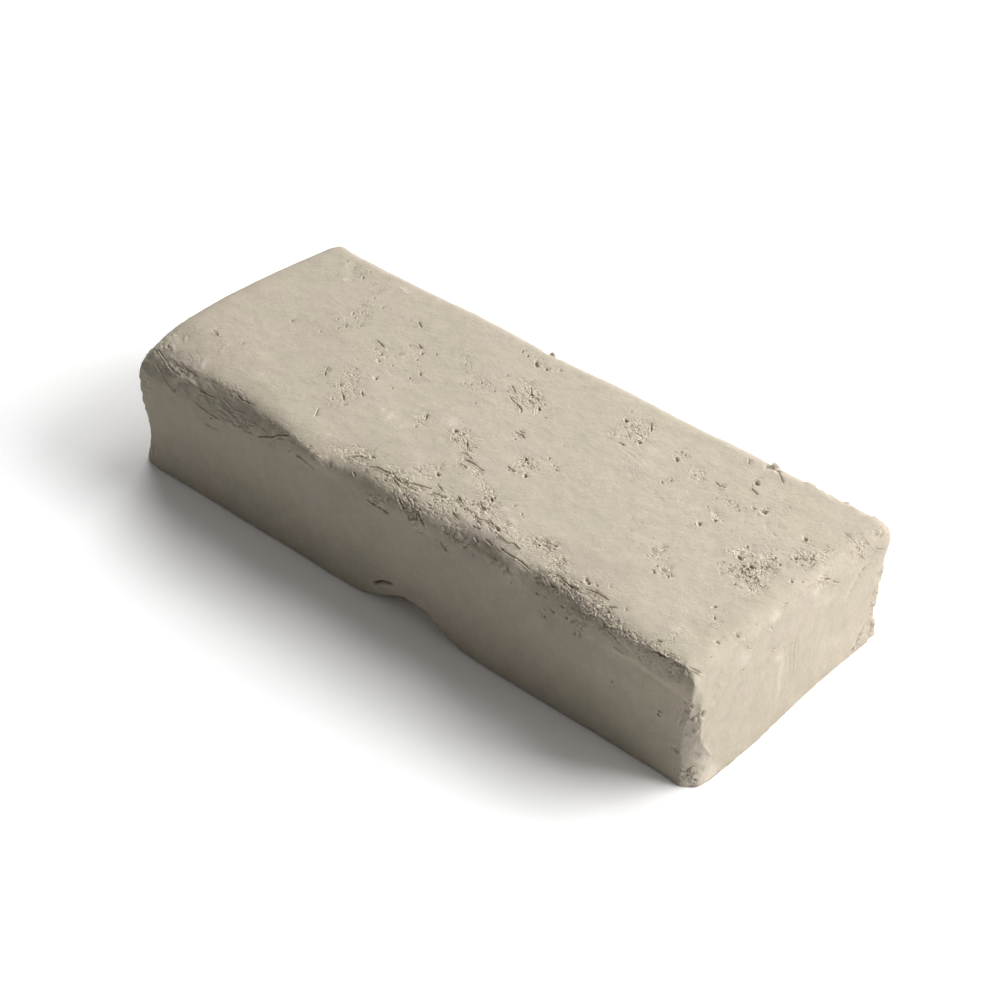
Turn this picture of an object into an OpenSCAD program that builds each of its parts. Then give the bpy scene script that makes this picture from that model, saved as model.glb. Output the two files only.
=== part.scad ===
// Clay bar: one pressed lump of kneadable clay with wire-cut ends, rolled top edges,
// a fold in its front foot, and a few torn bits of the same clay that cling to its edges.
// The bar lies along X and rests on its base at z = 0. Its front is the -Y side.

/* [Bar] */
// Overall length, from end to end
bar_l = 122; // [90:1:200]
// Overall width, from side to side
bar_w = 46; // [34:1:80]
// Overall height above the table
bar_h = 24; // [18:0.5:40]

/* [Rolled edges] */
// Roll of the top front edge at the left end, where it is broadest
front_roll_left = 5.2; // [2:0.1:7]
// Roll of the top front edge at the right end, where it is tightest
front_roll_right = 3; // [1.5:0.1:6]
// Roll of the top back edge
back_roll = 2.4; // [1:0.1:5]
// Roll of the foot edges, which the table cuts off flat
foot_roll = 1.4; // [0.8:0.1:3]
// Depth of the foot's roll that the flat base cuts away
foot_cut = 0.6; // [0.2:0.1:0.7]

/* [Ends] */
// Length over which the left end rolls over into the top and sides
left_roll = 5; // [1.5:0.1:7]
// Length over which the right end rolls over into the top and sides
right_roll = 2.8; // [1.5:0.1:5]
// How far the sides close in over an end's roll
end_side_roll = 2; // [1:0.1:4]
// How far the corners of the left end stand back from its middle
left_bow = 1.8; // [0:0.1:4]
// Depth of the waist round the left end
left_waist = 1.3; // [0:0.1:3]
// How far the left end's front corner has slumped
left_slump = 1.2; // [0:0.1:4]
// How far the foot has torn up at the right end's back corner
right_tear = 3; // [0:0.1:4]

/* [Sides] */
// Depth of the waist along the front side
front_waist = 0.4; // [0:0.1:2]
// Depth of the waist along the back side
back_waist = 1.2; // [0:0.1:3]
// Height of the slow waves in the surface
wave = 0.25; // [0:0.05:0.6]
// Depth of the thumb dents along the top front edge
dent = 1.1; // [0:0.1:2]

/* [Foot fold] */
// Distance of the fold's peak from the bar's middle
fold_x = 3; // [-20:1:20]
// Length of the fold along the foot
fold_l = 26; // [14:1:34]
// Height of the fold's mouth
fold_h = 3.8; // [1:0.1:6]
// Depth of the fold under the bar
fold_depth = 7; // [3:0.5:12]
// Length of the slit where the fold's lip meets the side
slit_l = 5.6; // [2:0.1:8]
// Width of the slit at its middle
slit_w = 0.5; // [0.2:0.05:1]

/* [Torn bits] */
// Distance from the right end to the middle of the torn scale
flake_from_end = 16; // [12:1:30]
// Length of the torn scale along the back edge
flake_l = 12.6; // [6:0.2:14]
// Width of the torn scale across the edge
flake_w = 4; // [2:0.1:5]
// How far the scale's outer side stands in from the back of the bar
flake_inset = 0.9; // [0:0.1:2]
// Depth of the hollow that the scale tore from
flake_t = 1.5; // [0.8:0.1:2]
// Height of the scale's lifted left end above the bar
flake_lift = 0.5; // [0:0.1:1]
// Open crevice between the scale and the wall that it tore from
crevice = 0.3; // [0.1:0.05:0.6]
// Width of a clinging crumb
crumb = 1.5; // [1:0.1:2.2]

/* [Resolution] */
// Rings of points along the bar between its end rolls
rings = 54; // [30:2:70]
// Points along each side wall
side_points = 7; // [5:1:9]
// Points across the top and the base
face_points = 13; // [9:1:16]
// Points round each rolled edge
roll_points = 5; // [4:1:6]

/* [Hidden] */

clay = "#c9beac";
half_l = bar_l / 2;
half_w = bar_w / 2;

// Length at each end over which its bow, waist or skew fades out
end_reach = 18;
// Rings that close each end, from its rim to its middle
cap_rings = 4;
// How far a crumb's seat lies under the skin
seat_depth = 0.25;

// ---- plain rules ----

function mix(a, b, t) = a + (b - a) * t;
function ease(t) = let (c = min(max(t, 0), 1)) c * c * (3 - 2 * c);
function hill(t) = exp(-t * t);

// ---- cross-section: a box with four rolled edges ----

// Points round one rolled edge of radius r about (y, z), from angle a to a - 90
function roll(y, z, r, a) =
    [for (i = [0:roll_points]) let (t = a - 90 * i / roll_points) [y + r * cos(t), z + r * sin(t)]];

// Points between two ends of a straight stretch, without the ends
function stretch(p, q, n) = [for (i = [1:n]) mix(p, q, i / (n + 1))];

// The rolled front edge tightens along the bar
function front_roll(x) = mix(front_roll_left, front_roll_right, ease(x / bar_l + 0.5));

// Section at x, drawn in at the sides and the top where an end rolls over
function section(x, side_in, top_in) =
    let (
        w = half_w - side_in,
        top = bar_h - top_in,
        rf = max(front_roll(x) - top_in, 1),
        rb = max(back_roll - top_in / 2, 1),
        front_top = roll(-w + rf, top - rf, rf, 180),
        back_top = roll(w - rb, top - rb, rb, 90),
        back_foot = roll(w - foot_roll, foot_roll - foot_cut, foot_roll, 0),
        front_foot = roll(-w + foot_roll, foot_roll - foot_cut, foot_roll, -90)
    )
    concat(
        front_top, stretch(front_top[roll_points], back_top[0], face_points),
        back_top, stretch(back_top[roll_points], back_foot[0], side_points),
        back_foot, stretch(back_foot[roll_points], front_foot[0], face_points),
        front_foot, stretch(front_foot[roll_points], front_top[0], side_points)
    );

// ---- what pressing, cutting and handling did to the box ----

// Nearness to an end: 1 at the end, fading to 0 over end_reach
function at_left(x) = ease((end_reach - half_l - x) / end_reach);
function at_right(x) = ease((end_reach - half_l + x) / end_reach);

// Waist profile over the height, 1 at its deepest
function waist(z) = hill((z / bar_h - 0.26) / 0.24);

// Slow surface wave, from 0 to 1, along a direction set by its two wavelengths
function ripple(a, b, phase) = 0.5 + 0.25 * sin(360 * a / 47 + phase) + 0.25 * sin(360 * (a / 29 + b / 31) - phase);

// Thumb dents along the top front edge, each with its place and its reach
DENTS = [[-0.36, 9], [-0.07, 6], [0.1, 7], [0.29, 9]];
function dents(x) = max([for (d = DENTS) hill((x - d[0] * bar_l) / d[1])]);

// The foot's fold rises steeply on its left and falls slowly on its right
function fold(x) = hill((x - fold_x) / (fold_l * (x < fold_x ? 0.24 : 0.33)));

function bend(p) =
    let (
        x = p[0], y = p[1], z = p[2],
        v = y / half_w,
        front = ease(-2 * v - 1),
        back = ease(2 * v - 1),
        high = ease((z / bar_h - 0.55) / 0.45),
        slump = left_slump * at_left(x) * front * high,
        left_in = left_bow * v * v + left_waist * waist(z) + 0.6 * slump,
        right_in = 0.5 * back * waist(z),
        tear = right_tear * at_right(x) * ease(0.8 * v + 0.6) * ease(1 - z / (4 * foot_roll + right_tear)),
        front_in = front_waist * waist(z) + wave * ripple(x, z, 20),
        back_in = back_waist * waist(z) * mix(0.5, 1, at_right(x)) + wave * ripple(x, z, 130),
        pressed = dent * dents(x) * front * high,
        fold_in = fold(x) * ease(1 - (z + foot_cut) / (2.4 * fold_h)) * ease(1 - (y + half_w) / fold_depth)
    )
    [
        x + at_left(x) * left_in - at_right(x) * right_in,
        y + front * front_in - back * back_in + 0.7 * pressed + 0.15 * fold_h * fold_in,
        z - high * wave * ripple(x, y, 75) - 0.7 * pressed - slump + fold_h * fold_in + tear
    ];

function bent_section(x, side_in, top_in) =
    [for (q = section(x, side_in, top_in)) bend([x, q[0], q[1]])];

// ---- the bar's skin: rings of points from the left end to the right ----

// Ring on an end's roll; side is -1 at the left end and 1 at the right, a is 0 to 90 degrees
function end_ring(side, a) =
    let (r = side < 0 ? left_roll : right_roll)
    bent_section(side * (half_l - r * (1 - sin(a))), end_side_roll * (1 - cos(a)), 0.9 * r * (1 - cos(a)));

function middle_ring(i) =
    bent_section(mix(-half_l + left_roll, half_l - right_roll, i / (rings + 1)), 0, 0);

// Middle of an end face
function end_middle(side) = bend([side * half_l, 0, bar_h / 2]);

// Ring inside an end face, drawn towards its middle
function cap_ring(side, share) =
    let (rim = end_ring(side, 90), c = end_middle(side), flat = mix(rim, [for (q = rim) c], 1 - share))
    [for (i = [0:len(flat) - 1]) [mix(rim[i][0], c[0], ease(1 - share)), flat[i][1], flat[i][2]]];

roll_steps = [for (i = [0:roll_points]) 90 * i / roll_points];
cap_shares = [for (i = [1:cap_rings - 1]) i / cap_rings];

skin = concat(
    [for (s = cap_shares) cap_ring(-1, s)],
    [for (i = [roll_points:-1:0]) end_ring(-1, roll_steps[i])],
    [for (i = [1:rings]) middle_ring(i)],
    [for (a = roll_steps) end_ring(1, a)],
    [for (i = [len(cap_shares) - 1:-1:0]) cap_ring(1, cap_shares[i])]
);

module rough_block() {
    n = len(skin[0]);
    count = len(skin);
    left = n * count;
    right = left + 1;
    points = [for (ring = skin) each ring, end_middle(-1), end_middle(1)];
    faces = concat(
        [for (i = [0:count - 2], j = [0:n - 1]) let (a = i * n, k = (j + 1) % n) [a + j, a + k, a + n + k]],
        [for (i = [0:count - 2], j = [0:n - 1]) let (a = i * n, k = (j + 1) % n) [a + j, a + n + k, a + n + j]],
        [for (j = [0:n - 1]) [left, (j + 1) % n, j]],
        [for (j = [0:n - 1]) [right, left - n + j, left - n + (j + 1) % n]]
    );
    polyhedron(points, faces);
}

// ---- seats for the torn bits ----

// Place on the skin's section, counted round from its rolled front edge
back_edge_point = roll_points + face_points + 1 + round(roll_points / 2);
front_wall_point = 4 * roll_points + 2 * face_points + side_points + 4;

// Each crumb: its place on the skin, and the turns that point it away from the bar
CRUMBS = [
    [bent_section(-6.5, 0, 0)[back_edge_point], [-45, 0, 0]],
    [end_ring(1, 45)[front_wall_point + round(side_points / 2)], [45, 90, 0]],
    [end_ring(1, 45)[front_wall_point], [45, 90, 0]]
];

module at_crumb(c) {
    translate(c[0]) rotate(c[1]) translate([0, 0, -seat_depth]) children();
}

// Outline of the torn scale, in shares of its length and width: a tongue that points inwards
TONGUE = [[-0.5, 0.1], [-0.4, -0.15], [-0.16, -0.5], [0, -0.4], [0.25, -0.1], [0.5, 0.3], [0.46, 0.5], [-0.48, 0.5]];

// Block on the scale's outline, from the floor of its hollow up: grown sideways by room,
// with its outer side moved out by reach
module tongue(height, room = 0, reach = 0) {
    translate([half_l - flake_from_end, half_w - flake_inset - flake_w / 2, bar_h - flake_t])
        linear_extrude(height = height)
            polygon([for (p = TONGUE)
                [p[0] * (flake_l + 2 * room), p[1] * (flake_w + 2 * room) + (p[1] == 0.5 ? reach : 0)]]);
}

// Slit over the fold's lip: a thin lens that climbs with the fold's left side
module slit() {
    arc = [for (i = [-6:6]) i / 6];
    upper = [for (t = arc) [t * slit_l / 2, (0.12 * slit_l + slit_w / 2) * (1 - t * t)]];
    lower = [for (t = arc) [-t * slit_l / 2, (0.12 * slit_l - slit_w / 2) * (1 - t * t)]];
    translate([fold_x - 0.16 * fold_l, -half_w + fold_depth / 2, 1.05 * fold_h])
        rotate([90, -26, 0]) linear_extrude(height = fold_depth) polygon(concat(upper, lower));
}

// ---- sub-parts ----

module clay_bar() {
    color(clay) difference() {
        intersection() {
            rough_block();
            translate([-bar_l, -bar_w, 0]) cube([2 * bar_l, 2 * bar_w, 2 * bar_h]);
        }
        tongue(2 * flake_t, crevice, 2 * flake_inset + 1);
        slit();
        for (c = CRUMBS) at_crumb(c) cylinder(d = 3 * crumb, h = 2);
    }
}

module edge_flake() {
    slope = atan(flake_lift / flake_l);
    color(clay) difference() {
        tongue(flake_t + flake_lift);
        translate([half_l - flake_from_end + flake_l / 2, 0, bar_h]) rotate([0, slope, 0])
            translate([-2 * flake_l, 0, 0]) cube([4 * flake_l, bar_w, 2 * flake_t]);
    }
}

module edge_crumbs() {
    color(clay) for (c = CRUMBS) at_crumb(c)
        linear_extrude(height = 0.6 * crumb, scale = 0.6)
            polygon([for (t = [0:45:315]) crumb / 2 * (1 - 0.12 * sin(2 * t + 30)) * [cos(t), 0.8 * sin(t)]]);
}

clay_bar();
edge_flake();
edge_crumbs();
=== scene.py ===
"""The looks of the clay bar: one block of soft clay, with a torn flake and a few crumbs on its edges."""

import math

import bpy
import numpy as np
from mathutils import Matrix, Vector


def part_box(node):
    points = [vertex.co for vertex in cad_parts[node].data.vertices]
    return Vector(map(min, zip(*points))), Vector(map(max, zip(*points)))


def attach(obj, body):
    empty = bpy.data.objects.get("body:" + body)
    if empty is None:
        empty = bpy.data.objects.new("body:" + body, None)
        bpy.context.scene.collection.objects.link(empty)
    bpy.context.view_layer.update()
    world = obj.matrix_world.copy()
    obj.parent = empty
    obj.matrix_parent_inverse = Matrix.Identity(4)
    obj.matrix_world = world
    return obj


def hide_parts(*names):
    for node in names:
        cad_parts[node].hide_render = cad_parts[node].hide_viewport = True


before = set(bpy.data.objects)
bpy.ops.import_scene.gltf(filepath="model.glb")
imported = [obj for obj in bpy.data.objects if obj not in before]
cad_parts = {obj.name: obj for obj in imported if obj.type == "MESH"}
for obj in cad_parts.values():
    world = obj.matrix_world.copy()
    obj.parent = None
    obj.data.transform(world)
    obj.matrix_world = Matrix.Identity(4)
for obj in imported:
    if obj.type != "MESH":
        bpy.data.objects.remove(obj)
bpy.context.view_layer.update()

MM = 0.001
LOW, HIGH = (np.array(corner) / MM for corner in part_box("clay_bar"))
TOP = HIGH[2]
FRONT = LOW[1]
BACK = HIGH[1]
END = HIGH[0]

# The scale's torn lip lies behind this y. In front of it the clay has healed.
TORN_LINE = 20.9


# ---------- camera, floor and lamps ----------

CAMERA_AZIMUTH = math.radians(42.9)
CAMERA_ELEVATION = math.radians(36.7)
CAMERA_DISTANCE = 0.4167
CAMERA_AIM = Vector((-0.007, 0.0101, 0.0))
CAMERA_LENS = 90.8

WHITE = (1, 1, 1, 1)
FILL_LIGHT = 0.096

# The floor starts to turn plain white this far from the object, in metres, and is white by the second.
WHITE_FROM, WHITE_BY = 0.2, 0.45


def direction(azimuth, elevation):
    """The way from the object towards a point, with azimuth 0 at -Y and 90 degrees at +X."""
    flat = math.cos(elevation)
    return Vector((math.sin(azimuth) * flat, -math.cos(azimuth) * flat, math.sin(elevation)))


SIGHT = np.array(direction(CAMERA_AZIMUTH, CAMERA_ELEVATION))


def add_camera():
    away = direction(CAMERA_AZIMUTH, CAMERA_ELEVATION)
    bpy.ops.object.camera_add(location=CAMERA_AIM + away * CAMERA_DISTANCE)
    camera = bpy.context.object
    camera.rotation_euler = (math.pi / 2 - CAMERA_ELEVATION, 0, CAMERA_AZIMUTH)
    camera.data.lens = CAMERA_LENS
    camera.data.sensor_width = 36
    camera.data.clip_start = 0.01
    bpy.context.scene.camera = camera


def add_lamp(kind, name, azimuth, elevation, distance=1.0):
    """A lamp of the given kind, turned towards the object."""
    towards = direction(math.radians(azimuth), math.radians(elevation))
    bpy.ops.object.light_add(type=kind, location=towards * distance)
    lamp = bpy.context.object
    lamp.name = name
    lamp.rotation_mode = "QUATERNION"
    lamp.rotation_quaternion = towards.to_track_quat("Z", "Y")
    return lamp.data


def add_window(name, azimuth, elevation, spread, strength):
    """A broad soft lamp far away, so the whole floor gets the same light."""
    lamp = add_lamp("SUN", name, azimuth, elevation)
    lamp.angle = math.radians(spread)
    lamp.energy = strength


def add_softbox(name, azimuth, elevation, distance, size, watts):
    """A square softbox near the right end, which makes that end a little brighter than the other."""
    lamp = add_lamp("AREA", name, azimuth, elevation, distance)
    lamp.shape = "SQUARE"
    lamp.size = size
    lamp.energy = watts


def add_lamps():
    add_softbox("right_softbox", azimuth=126, elevation=35, distance=0.58, size=0.36, watts=2.85)
    add_softbox("top_softbox", azimuth=160, elevation=60, distance=0.58, size=0.36, watts=0.98)
    add_window("right_window", azimuth=100, elevation=20, spread=45, strength=0.42)
    add_window("back_window", azimuth=220, elevation=20, spread=45, strength=1.86)


def cleared_nodes(owner):
    """The emptied node tree of a material or a world."""
    owner.use_nodes = True
    owner.node_tree.nodes.clear()
    return owner.node_tree.nodes, owner.node_tree.links


def add_node(nodes, kind, **values):
    """A shader node with the given socket values."""
    node = nodes.new(kind)
    for socket, value in values.items():
        node.inputs[socket.replace("_", " ")].default_value = value
    return node


def mix_shaders(nodes, links, share, first, second):
    """The first shader where the share is 0, and the second where it is 1."""
    mix = nodes.new("ShaderNodeMixShader")
    links.new(share, mix.inputs["Fac"])
    links.new(first.outputs[0], mix.inputs[1])
    links.new(second.outputs[0], mix.inputs[2])
    return mix


def add_world():
    """A little light from all round, and plain white wherever the camera looks past the floor."""
    world = bpy.data.worlds.new("studio")
    bpy.context.scene.world = world
    nodes, links = cleared_nodes(world)
    fill = add_node(nodes, "ShaderNodeBackground", Color=WHITE, Strength=FILL_LIGHT)
    white = add_node(nodes, "ShaderNodeBackground", Color=WHITE, Strength=1.0)
    camera_ray = nodes.new("ShaderNodeLightPath").outputs["Is Camera Ray"]
    both = mix_shaders(nodes, links, camera_ray, fill, white)
    links.new(both.outputs[0], nodes.new("ShaderNodeOutputWorld").inputs["Surface"])


def add_floor():
    """A pale floor that keeps the shadow, and is plain white away from the object."""
    bpy.ops.mesh.primitive_plane_add(size=8)
    floor = bpy.context.object
    floor.name = "floor"
    material = bpy.data.materials.new("white_sweep")
    nodes, links = cleared_nodes(material)
    bounce = add_node(nodes, "ShaderNodeBsdfDiffuse", Color=(0.85, 0.85, 0.85, 1))
    near = add_node(nodes, "ShaderNodeBsdfDiffuse", Color=(1.4, 1.4, 1.4, 1))
    far = add_node(nodes, "ShaderNodeEmission", Color=WHITE, Strength=1.0)
    gap = nodes.new("ShaderNodeVectorMath")
    gap.operation = "LENGTH"
    links.new(nodes.new("ShaderNodeTexCoord").outputs["Object"], gap.inputs[0])
    fade = add_node(nodes, "ShaderNodeMapRange", From_Min=WHITE_FROM, From_Max=WHITE_BY)
    links.new(gap.outputs["Value"], fade.inputs["Value"])
    seen = mix_shaders(nodes, links, fade.outputs[0], near, far)
    camera_ray = nodes.new("ShaderNodeLightPath").outputs["Is Camera Ray"]
    both = mix_shaders(nodes, links, camera_ray, bounce, seen)
    links.new(both.outputs[0], nodes.new("ShaderNodeOutputMaterial").inputs["Surface"])
    floor.data.materials.append(material)


# ---------- working the clay: a fine skin whose points are pushed about, all in mm ----------

LATTICE_SIZE = 64
LATTICE = np.random.default_rng(7).uniform(-1, 1, (LATTICE_SIZE,) * 3)
MARKS_SEED = 21
SWAY = 0.3


def ease(share):
    """0 to 1 with a soft start and end."""
    share = np.clip(share, 0, 1)
    return share * share * (3 - 2 * share)


def heading(turn):
    """The way along a direction given in degrees."""
    return np.array((math.cos(math.radians(turn)), math.sin(math.radians(turn))))


def lumps(place, size, shift=0):
    """Smooth random lumps about `size` mm apart, from -1 to 1; each `shift` gives others."""
    cell = place / size + shift * 5.37
    low = np.floor(cell).astype(int)
    part = cell - low
    part = part * part * (3 - 2 * part)
    near = [low[:, axis] % LATTICE_SIZE for axis in range(3)]
    far = [(low[:, axis] + 1) % LATTICE_SIZE for axis in range(3)]
    total = 0
    for x_end in (0, 1):
        x_index, x_share = (far[0], part[:, 0]) if x_end else (near[0], 1 - part[:, 0])
        for y_end in (0, 1):
            y_index, y_share = (far[1], part[:, 1]) if y_end else (near[1], 1 - part[:, 1])
            pair = LATTICE[x_index, y_index, near[2]] * (1 - part[:, 2])
            pair += LATTICE[x_index, y_index, far[2]] * part[:, 2]
            total = total + pair * x_share * y_share
    return total


def deepen(layer, chosen, values):
    """Raise the chosen numbers of a layer to the given values, where those are higher."""
    layer[chosen] = np.maximum(layer[chosen], values)


class Sheet:
    """The skin laid out flat round one edge, so that a mark can be put down by its place in mm.

    Each point sways a little to and fro, by less than SWAY, so that no mark runs quite true.
    `lit` points towards the light on the sheet, and gives each crack its steep side.
    """

    def __init__(self, place, across, down, usable, lit=(0.4, 1.0)):
        self.lit = lit
        chosen = np.nonzero(usable)[0]
        order = np.argsort(across[chosen])
        self.chosen = chosen[order]
        place = place[self.chosen]
        self.sorted_across = across[self.chosen]
        self.across = self.sorted_across.copy()
        self.down = down[self.chosen]
        for size, reach, shift in ((1.3, 0.16, 1), (0.5, 0.07, 3), (0.22, 0.05, 5)):
            self.across += reach * lumps(place, size, shift)
            self.down = self.down + reach * lumps(place, size, shift + 1)

    def near(self, points, margin):
        """The points of the skin within `margin` of the box round `points`."""
        low = np.min(points, axis=0) - margin
        high = np.max(points, axis=0) + margin
        first, last = np.searchsorted(self.sorted_across, (low[0] - SWAY, high[0] + SWAY))
        inside = (self.down[first:last] > low[1]) & (self.down[first:last] < high[1])
        found = first + np.nonzero(inside)[0]
        return self.chosen[found], self.across[found], self.down[found]

    def around(self, centre, radii, turn, spread):
        """The points round a centre, measured from it along the direction `turn` and over to its side."""
        reach = max(radii) * spread
        corners = np.array((np.array(centre) - reach, np.array(centre) + reach))
        chosen, across, down = self.near(corners, 0)
        c, s = heading(turn)
        u, v = across - centre[0], down - centre[1]
        return chosen, u * c + v * s, v * c - u * s


class Skin:
    """The points of the fine mesh, and what the tools have done to each.

    `lift` is how far a point is still to move outwards, `hollow`, `pale` and `crumbled` are what the
    material reads, and `busy` points need a finer mesh. `hollow` is painted shade in cracks, pits and
    folds; `pale` is the rubbed pale of smears and painted highlight on crack lips, fold crests and the
    worn corner face.
    """

    def __init__(self, mesh):
        self.mesh = mesh
        self.rng = np.random.default_rng(MARKS_SEED)
        self.read()
        count = len(self.place)
        self.hollow = np.zeros(count)
        self.pale = np.zeros(count)
        self.crumbled = np.zeros(count)
        self.busy = np.zeros(count, bool)

    def read(self):
        """Take each point's place in mm and the way it faces from the mesh."""
        count = len(self.mesh.vertices)
        numbers = np.empty(count * 3, np.float32)
        self.mesh.vertices.foreach_get("co", numbers)
        self.place = numbers.reshape(-1, 3).astype(float) / MM
        self.mesh.vertices.foreach_get("normal", numbers)
        self.facing = numbers.reshape(-1, 3).astype(float)
        self.lift = np.zeros(count)

    def settle(self):
        """Give the mesh its new shape, and read which way each point faces now."""
        self.place[:, 2] = np.maximum(self.place[:, 2], 0)
        self.mesh.vertices.foreach_set("co", (self.place * MM).astype(np.float32).ravel())
        self.mesh.update()
        lift = self.lift
        self.read()
        self.lift = lift

    def press(self):
        """Move every point by its lift; the base stays flat on the table."""
        self.place += self.facing * self.lift[:, None]
        self.lift[:] = 0
        self.settle()

    def lay_out(self):
        """Unroll the skin over its edges; every sheet is measured in mm."""
        x, y, z = self.place.T
        face_x, face_y, face_z = self.facing.T
        place = self.place
        outer = (face_z > 0.2) | ((face_y < -0.2) & (face_x < 0.75))
        self.over_front = Sheet(place, x, y - (TOP - z), outer)
        outer = (face_z > 0.2) | (face_x > 0.2)
        self.over_end = Sheet(place, y, x + (TOP - z), outer & (x > 40), (1.0, -0.4))
        outer = (face_x > 0.2) | (face_y < -0.2)
        outer = outer & (x > 45) & (z < 22) & (face_z < 0.8)
        self.round_corner = Sheet(place, x + (y - FRONT), z, outer, (1.0, 0.4))
        self.over_back = Sheet(place, x, z - y, (face_y > 0.2) & (np.abs(face_x) < 0.8))
        self.over_left = Sheet(place, y, z + x, (face_x < -0.2))
        self.under = Sheet(place, x, y, face_z < -0.7)


def closest(sheet, points, across, down):
    """How far each place is from the line, on which side of it, and how far along it."""
    gap = np.full(len(across), 99.0)
    side = np.zeros(len(across))
    along = np.zeros(len(across))
    travelled = 0.0
    for (x1, y1), (x2, y2) in zip(points, points[1:]):
        run_x, run_y = x2 - x1, y2 - y1
        length = math.hypot(run_x, run_y) + 1e-6
        share = np.clip(((across - x1) * run_x + (down - y1) * run_y) / length ** 2, 0, 1)
        off_x = across - x1 - share * run_x
        off_y = down - y1 - share * run_y
        distance = np.hypot(off_x, off_y)
        nearer = distance < gap
        gap[nearer] = distance[nearer]
        side[nearer] = (off_x * sheet.lit[0] + off_y * sheet.lit[1])[nearer]
        along[nearer] = travelled + share[nearer] * length
        travelled += length
    return gap, side, along, travelled


def crevice(skin, sheet, points, width=0.1, depth=0.25, lip=0.06, dark=1.0, blunt=0.3, broken=1.0):
    """A crack torn along the points: steep on its lit side, with a lip pushed up on the other.

    A `blunt` crack stays deep to its ends, and a `broken` one comes and goes.
    """
    points = np.array(points, float)
    chosen, across, down = sheet.near(points, 0.3 + 5 * width)
    gap, side, along, length = closest(sheet, points, across, down)
    taper = ease(np.minimum(along, length - along) / max(0.25, 0.3 * min(length, 3)) + blunt)
    place = skin.place[chosen]
    worn = 0.7 * lumps(place, 0.7, 31) + 0.8 * lumps(place, 0.33, 32)
    taper = taper * np.clip(0.95 + broken * worn, 0.0, 1.5)
    reach = np.where(side > 0, 0.8 * width, 1.3 * width) * (0.75 + 0.35 * taper)
    groove = np.exp(-(gap / reach) ** 2) * taper
    ridge = np.exp(-((gap - 2.3 * width) / width) ** 2) * (side < 0) * taper
    skin.lift[chosen] += lip * ridge - depth * groove
    # Painted shade in the groove, and a painted highlight on the lip.
    deepen(skin.hollow, chosen, 0.75 * dark * np.exp(-(gap / (0.9 * reach)) ** 2) * np.minimum(taper, 1.2))
    deepen(skin.pale, chosen, 0.6 * dark * np.minimum(ridge, 1.2))
    skin.busy[chosen[gap < 0.25 + 3 * width]] = True


def pit(skin, sheet, centre, long=0.4, wide=0.14, depth=0.28, turn=-45, lip=0.06, dark=1.0):
    """A little hole, long in the direction `turn`, with one or two crumbs torn out beside it."""
    step = 0.5 * long * heading(turn)
    bend = skin.rng.normal(0, 0.3 * wide, 2)
    crevice(skin, sheet, (centre - step, centre + bend, centre + step), wide, depth, lip, dark, blunt=0.6)
    for _ in range(2):
        spot = centre + skin.rng.normal(0, 1, 2) * (0.5 * long + wide)
        small = skin.rng.uniform(0.3, 0.5) * step
        crevice(skin, sheet, (spot - small, spot + small), 0.07, 0.4 * depth, lip, 0.5 * dark)


def crumble(skin, sheet, centre, radii, turn, strength):
    """Mark a ragged patch whose skin has dried and broken into fine scales."""
    chosen, along, over = sheet.around(centre, radii, turn, 1.5)
    place = np.stack((along / 2 + centre[0], over + centre[1], 0 * along), 1) + 17.0
    inside = 1 - np.hypot(along / radii[0], over / radii[1])
    inside += 0.6 * lumps(place, 1.4, 51) + 0.4 * lumps(place, 0.6, 52)
    deepen(skin.crumbled, chosen, ease(inside / 0.6) * strength)


def broken_patches(skin, sheet, patches, grain=-40):
    """Each patch of broken skin: its scales, a net of folds where it is worst, and short tears."""
    for centre, radii, turn, strength in patches:
        crumble(skin, sheet, centre, radii, turn, strength)
        if strength > 0.75:
            crinkle(skin, sheet, centre, radii, 0.055 * strength, 0.45, turn, 1.5, 0.3)
        count = int(radii[0] * radii[1] * 3.2 * strength ** 2) + 2
        inner = np.array(radii) * 0.8
        torn_patch(skin, sheet, centre, inner, count, grain, 0.45, 0.11 * strength, 0.6 * strength, turn)


def torn_patch(skin, sheet, centre, radii, count, grain=-45, size=0.5, depth=0.12, dark=0.7, turn_patch=0):
    """A scatter of short fine tears, mostly along the grain."""
    rng = skin.rng
    c, s = heading(turn_patch)
    for _ in range(count):
        along, over = np.clip(rng.normal(0, 0.5, 2), -1.3, 1.3) * radii
        spot = np.array(centre) + (along * c - over * s, along * s + over * c)
        way = heading(grain + rng.normal(0, 34))
        step = size * rng.uniform(0.25, 0.8) * way
        bend = rng.normal(0, 0.2 * size, 2)
        strength = rng.uniform(0.3, 1.2)
        points = (spot - step, spot + bend, spot + step)
        crevice(skin, sheet, points, rng.uniform(0.06, 0.1), depth * strength, 0.45 * depth * strength,
                dark * min(1, strength))


def crinkle(skin, sheet, centre, radii, depth=0.08, size=0.5, turn=0, stretch=1.6, dark=0.5):
    """A patch of skin that has wrinkled into a net of fine folds."""
    chosen, along, over = sheet.around(centre, radii, turn, 1.4)
    place = np.stack((along / stretch + centre[0], over + centre[1], 0 * along), 1) + 31.0
    inside = 1 - np.hypot(along / radii[0], over / radii[1]) + 0.5 * lumps(place, 1.5, 8)
    inside = ease(inside / 0.5) * ease(0.75 + 0.8 * lumps(place, 2.2, 10))
    warp = np.stack((lumps(place, 1.3 * size, 5), lumps(place, 1.3 * size, 6), 0 * along), 1)
    place = place + 0.5 * size * warp
    fold = np.clip(1 - np.abs(lumps(place, size, 7)) * 3.2, -0.7, 1)
    finer = np.clip(1 - np.abs(lumps(place, 0.55 * size, 9)) * 3.2, -0.7, 1)
    fold = fold + 0.6 * finer
    skin.lift[chosen] -= depth * fold * inside
    # Painted shade in the folds' valleys, and painted highlight on their crests.
    deepen(skin.hollow, chosen, dark * np.clip(fold - 0.35, 0, 1) * inside)
    deepen(skin.pale, chosen, 1.2 * dark * np.clip(-fold - 0.1, 0, 0.6) * inside)
    skin.busy[chosen[inside > 0.05]] = True


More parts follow.
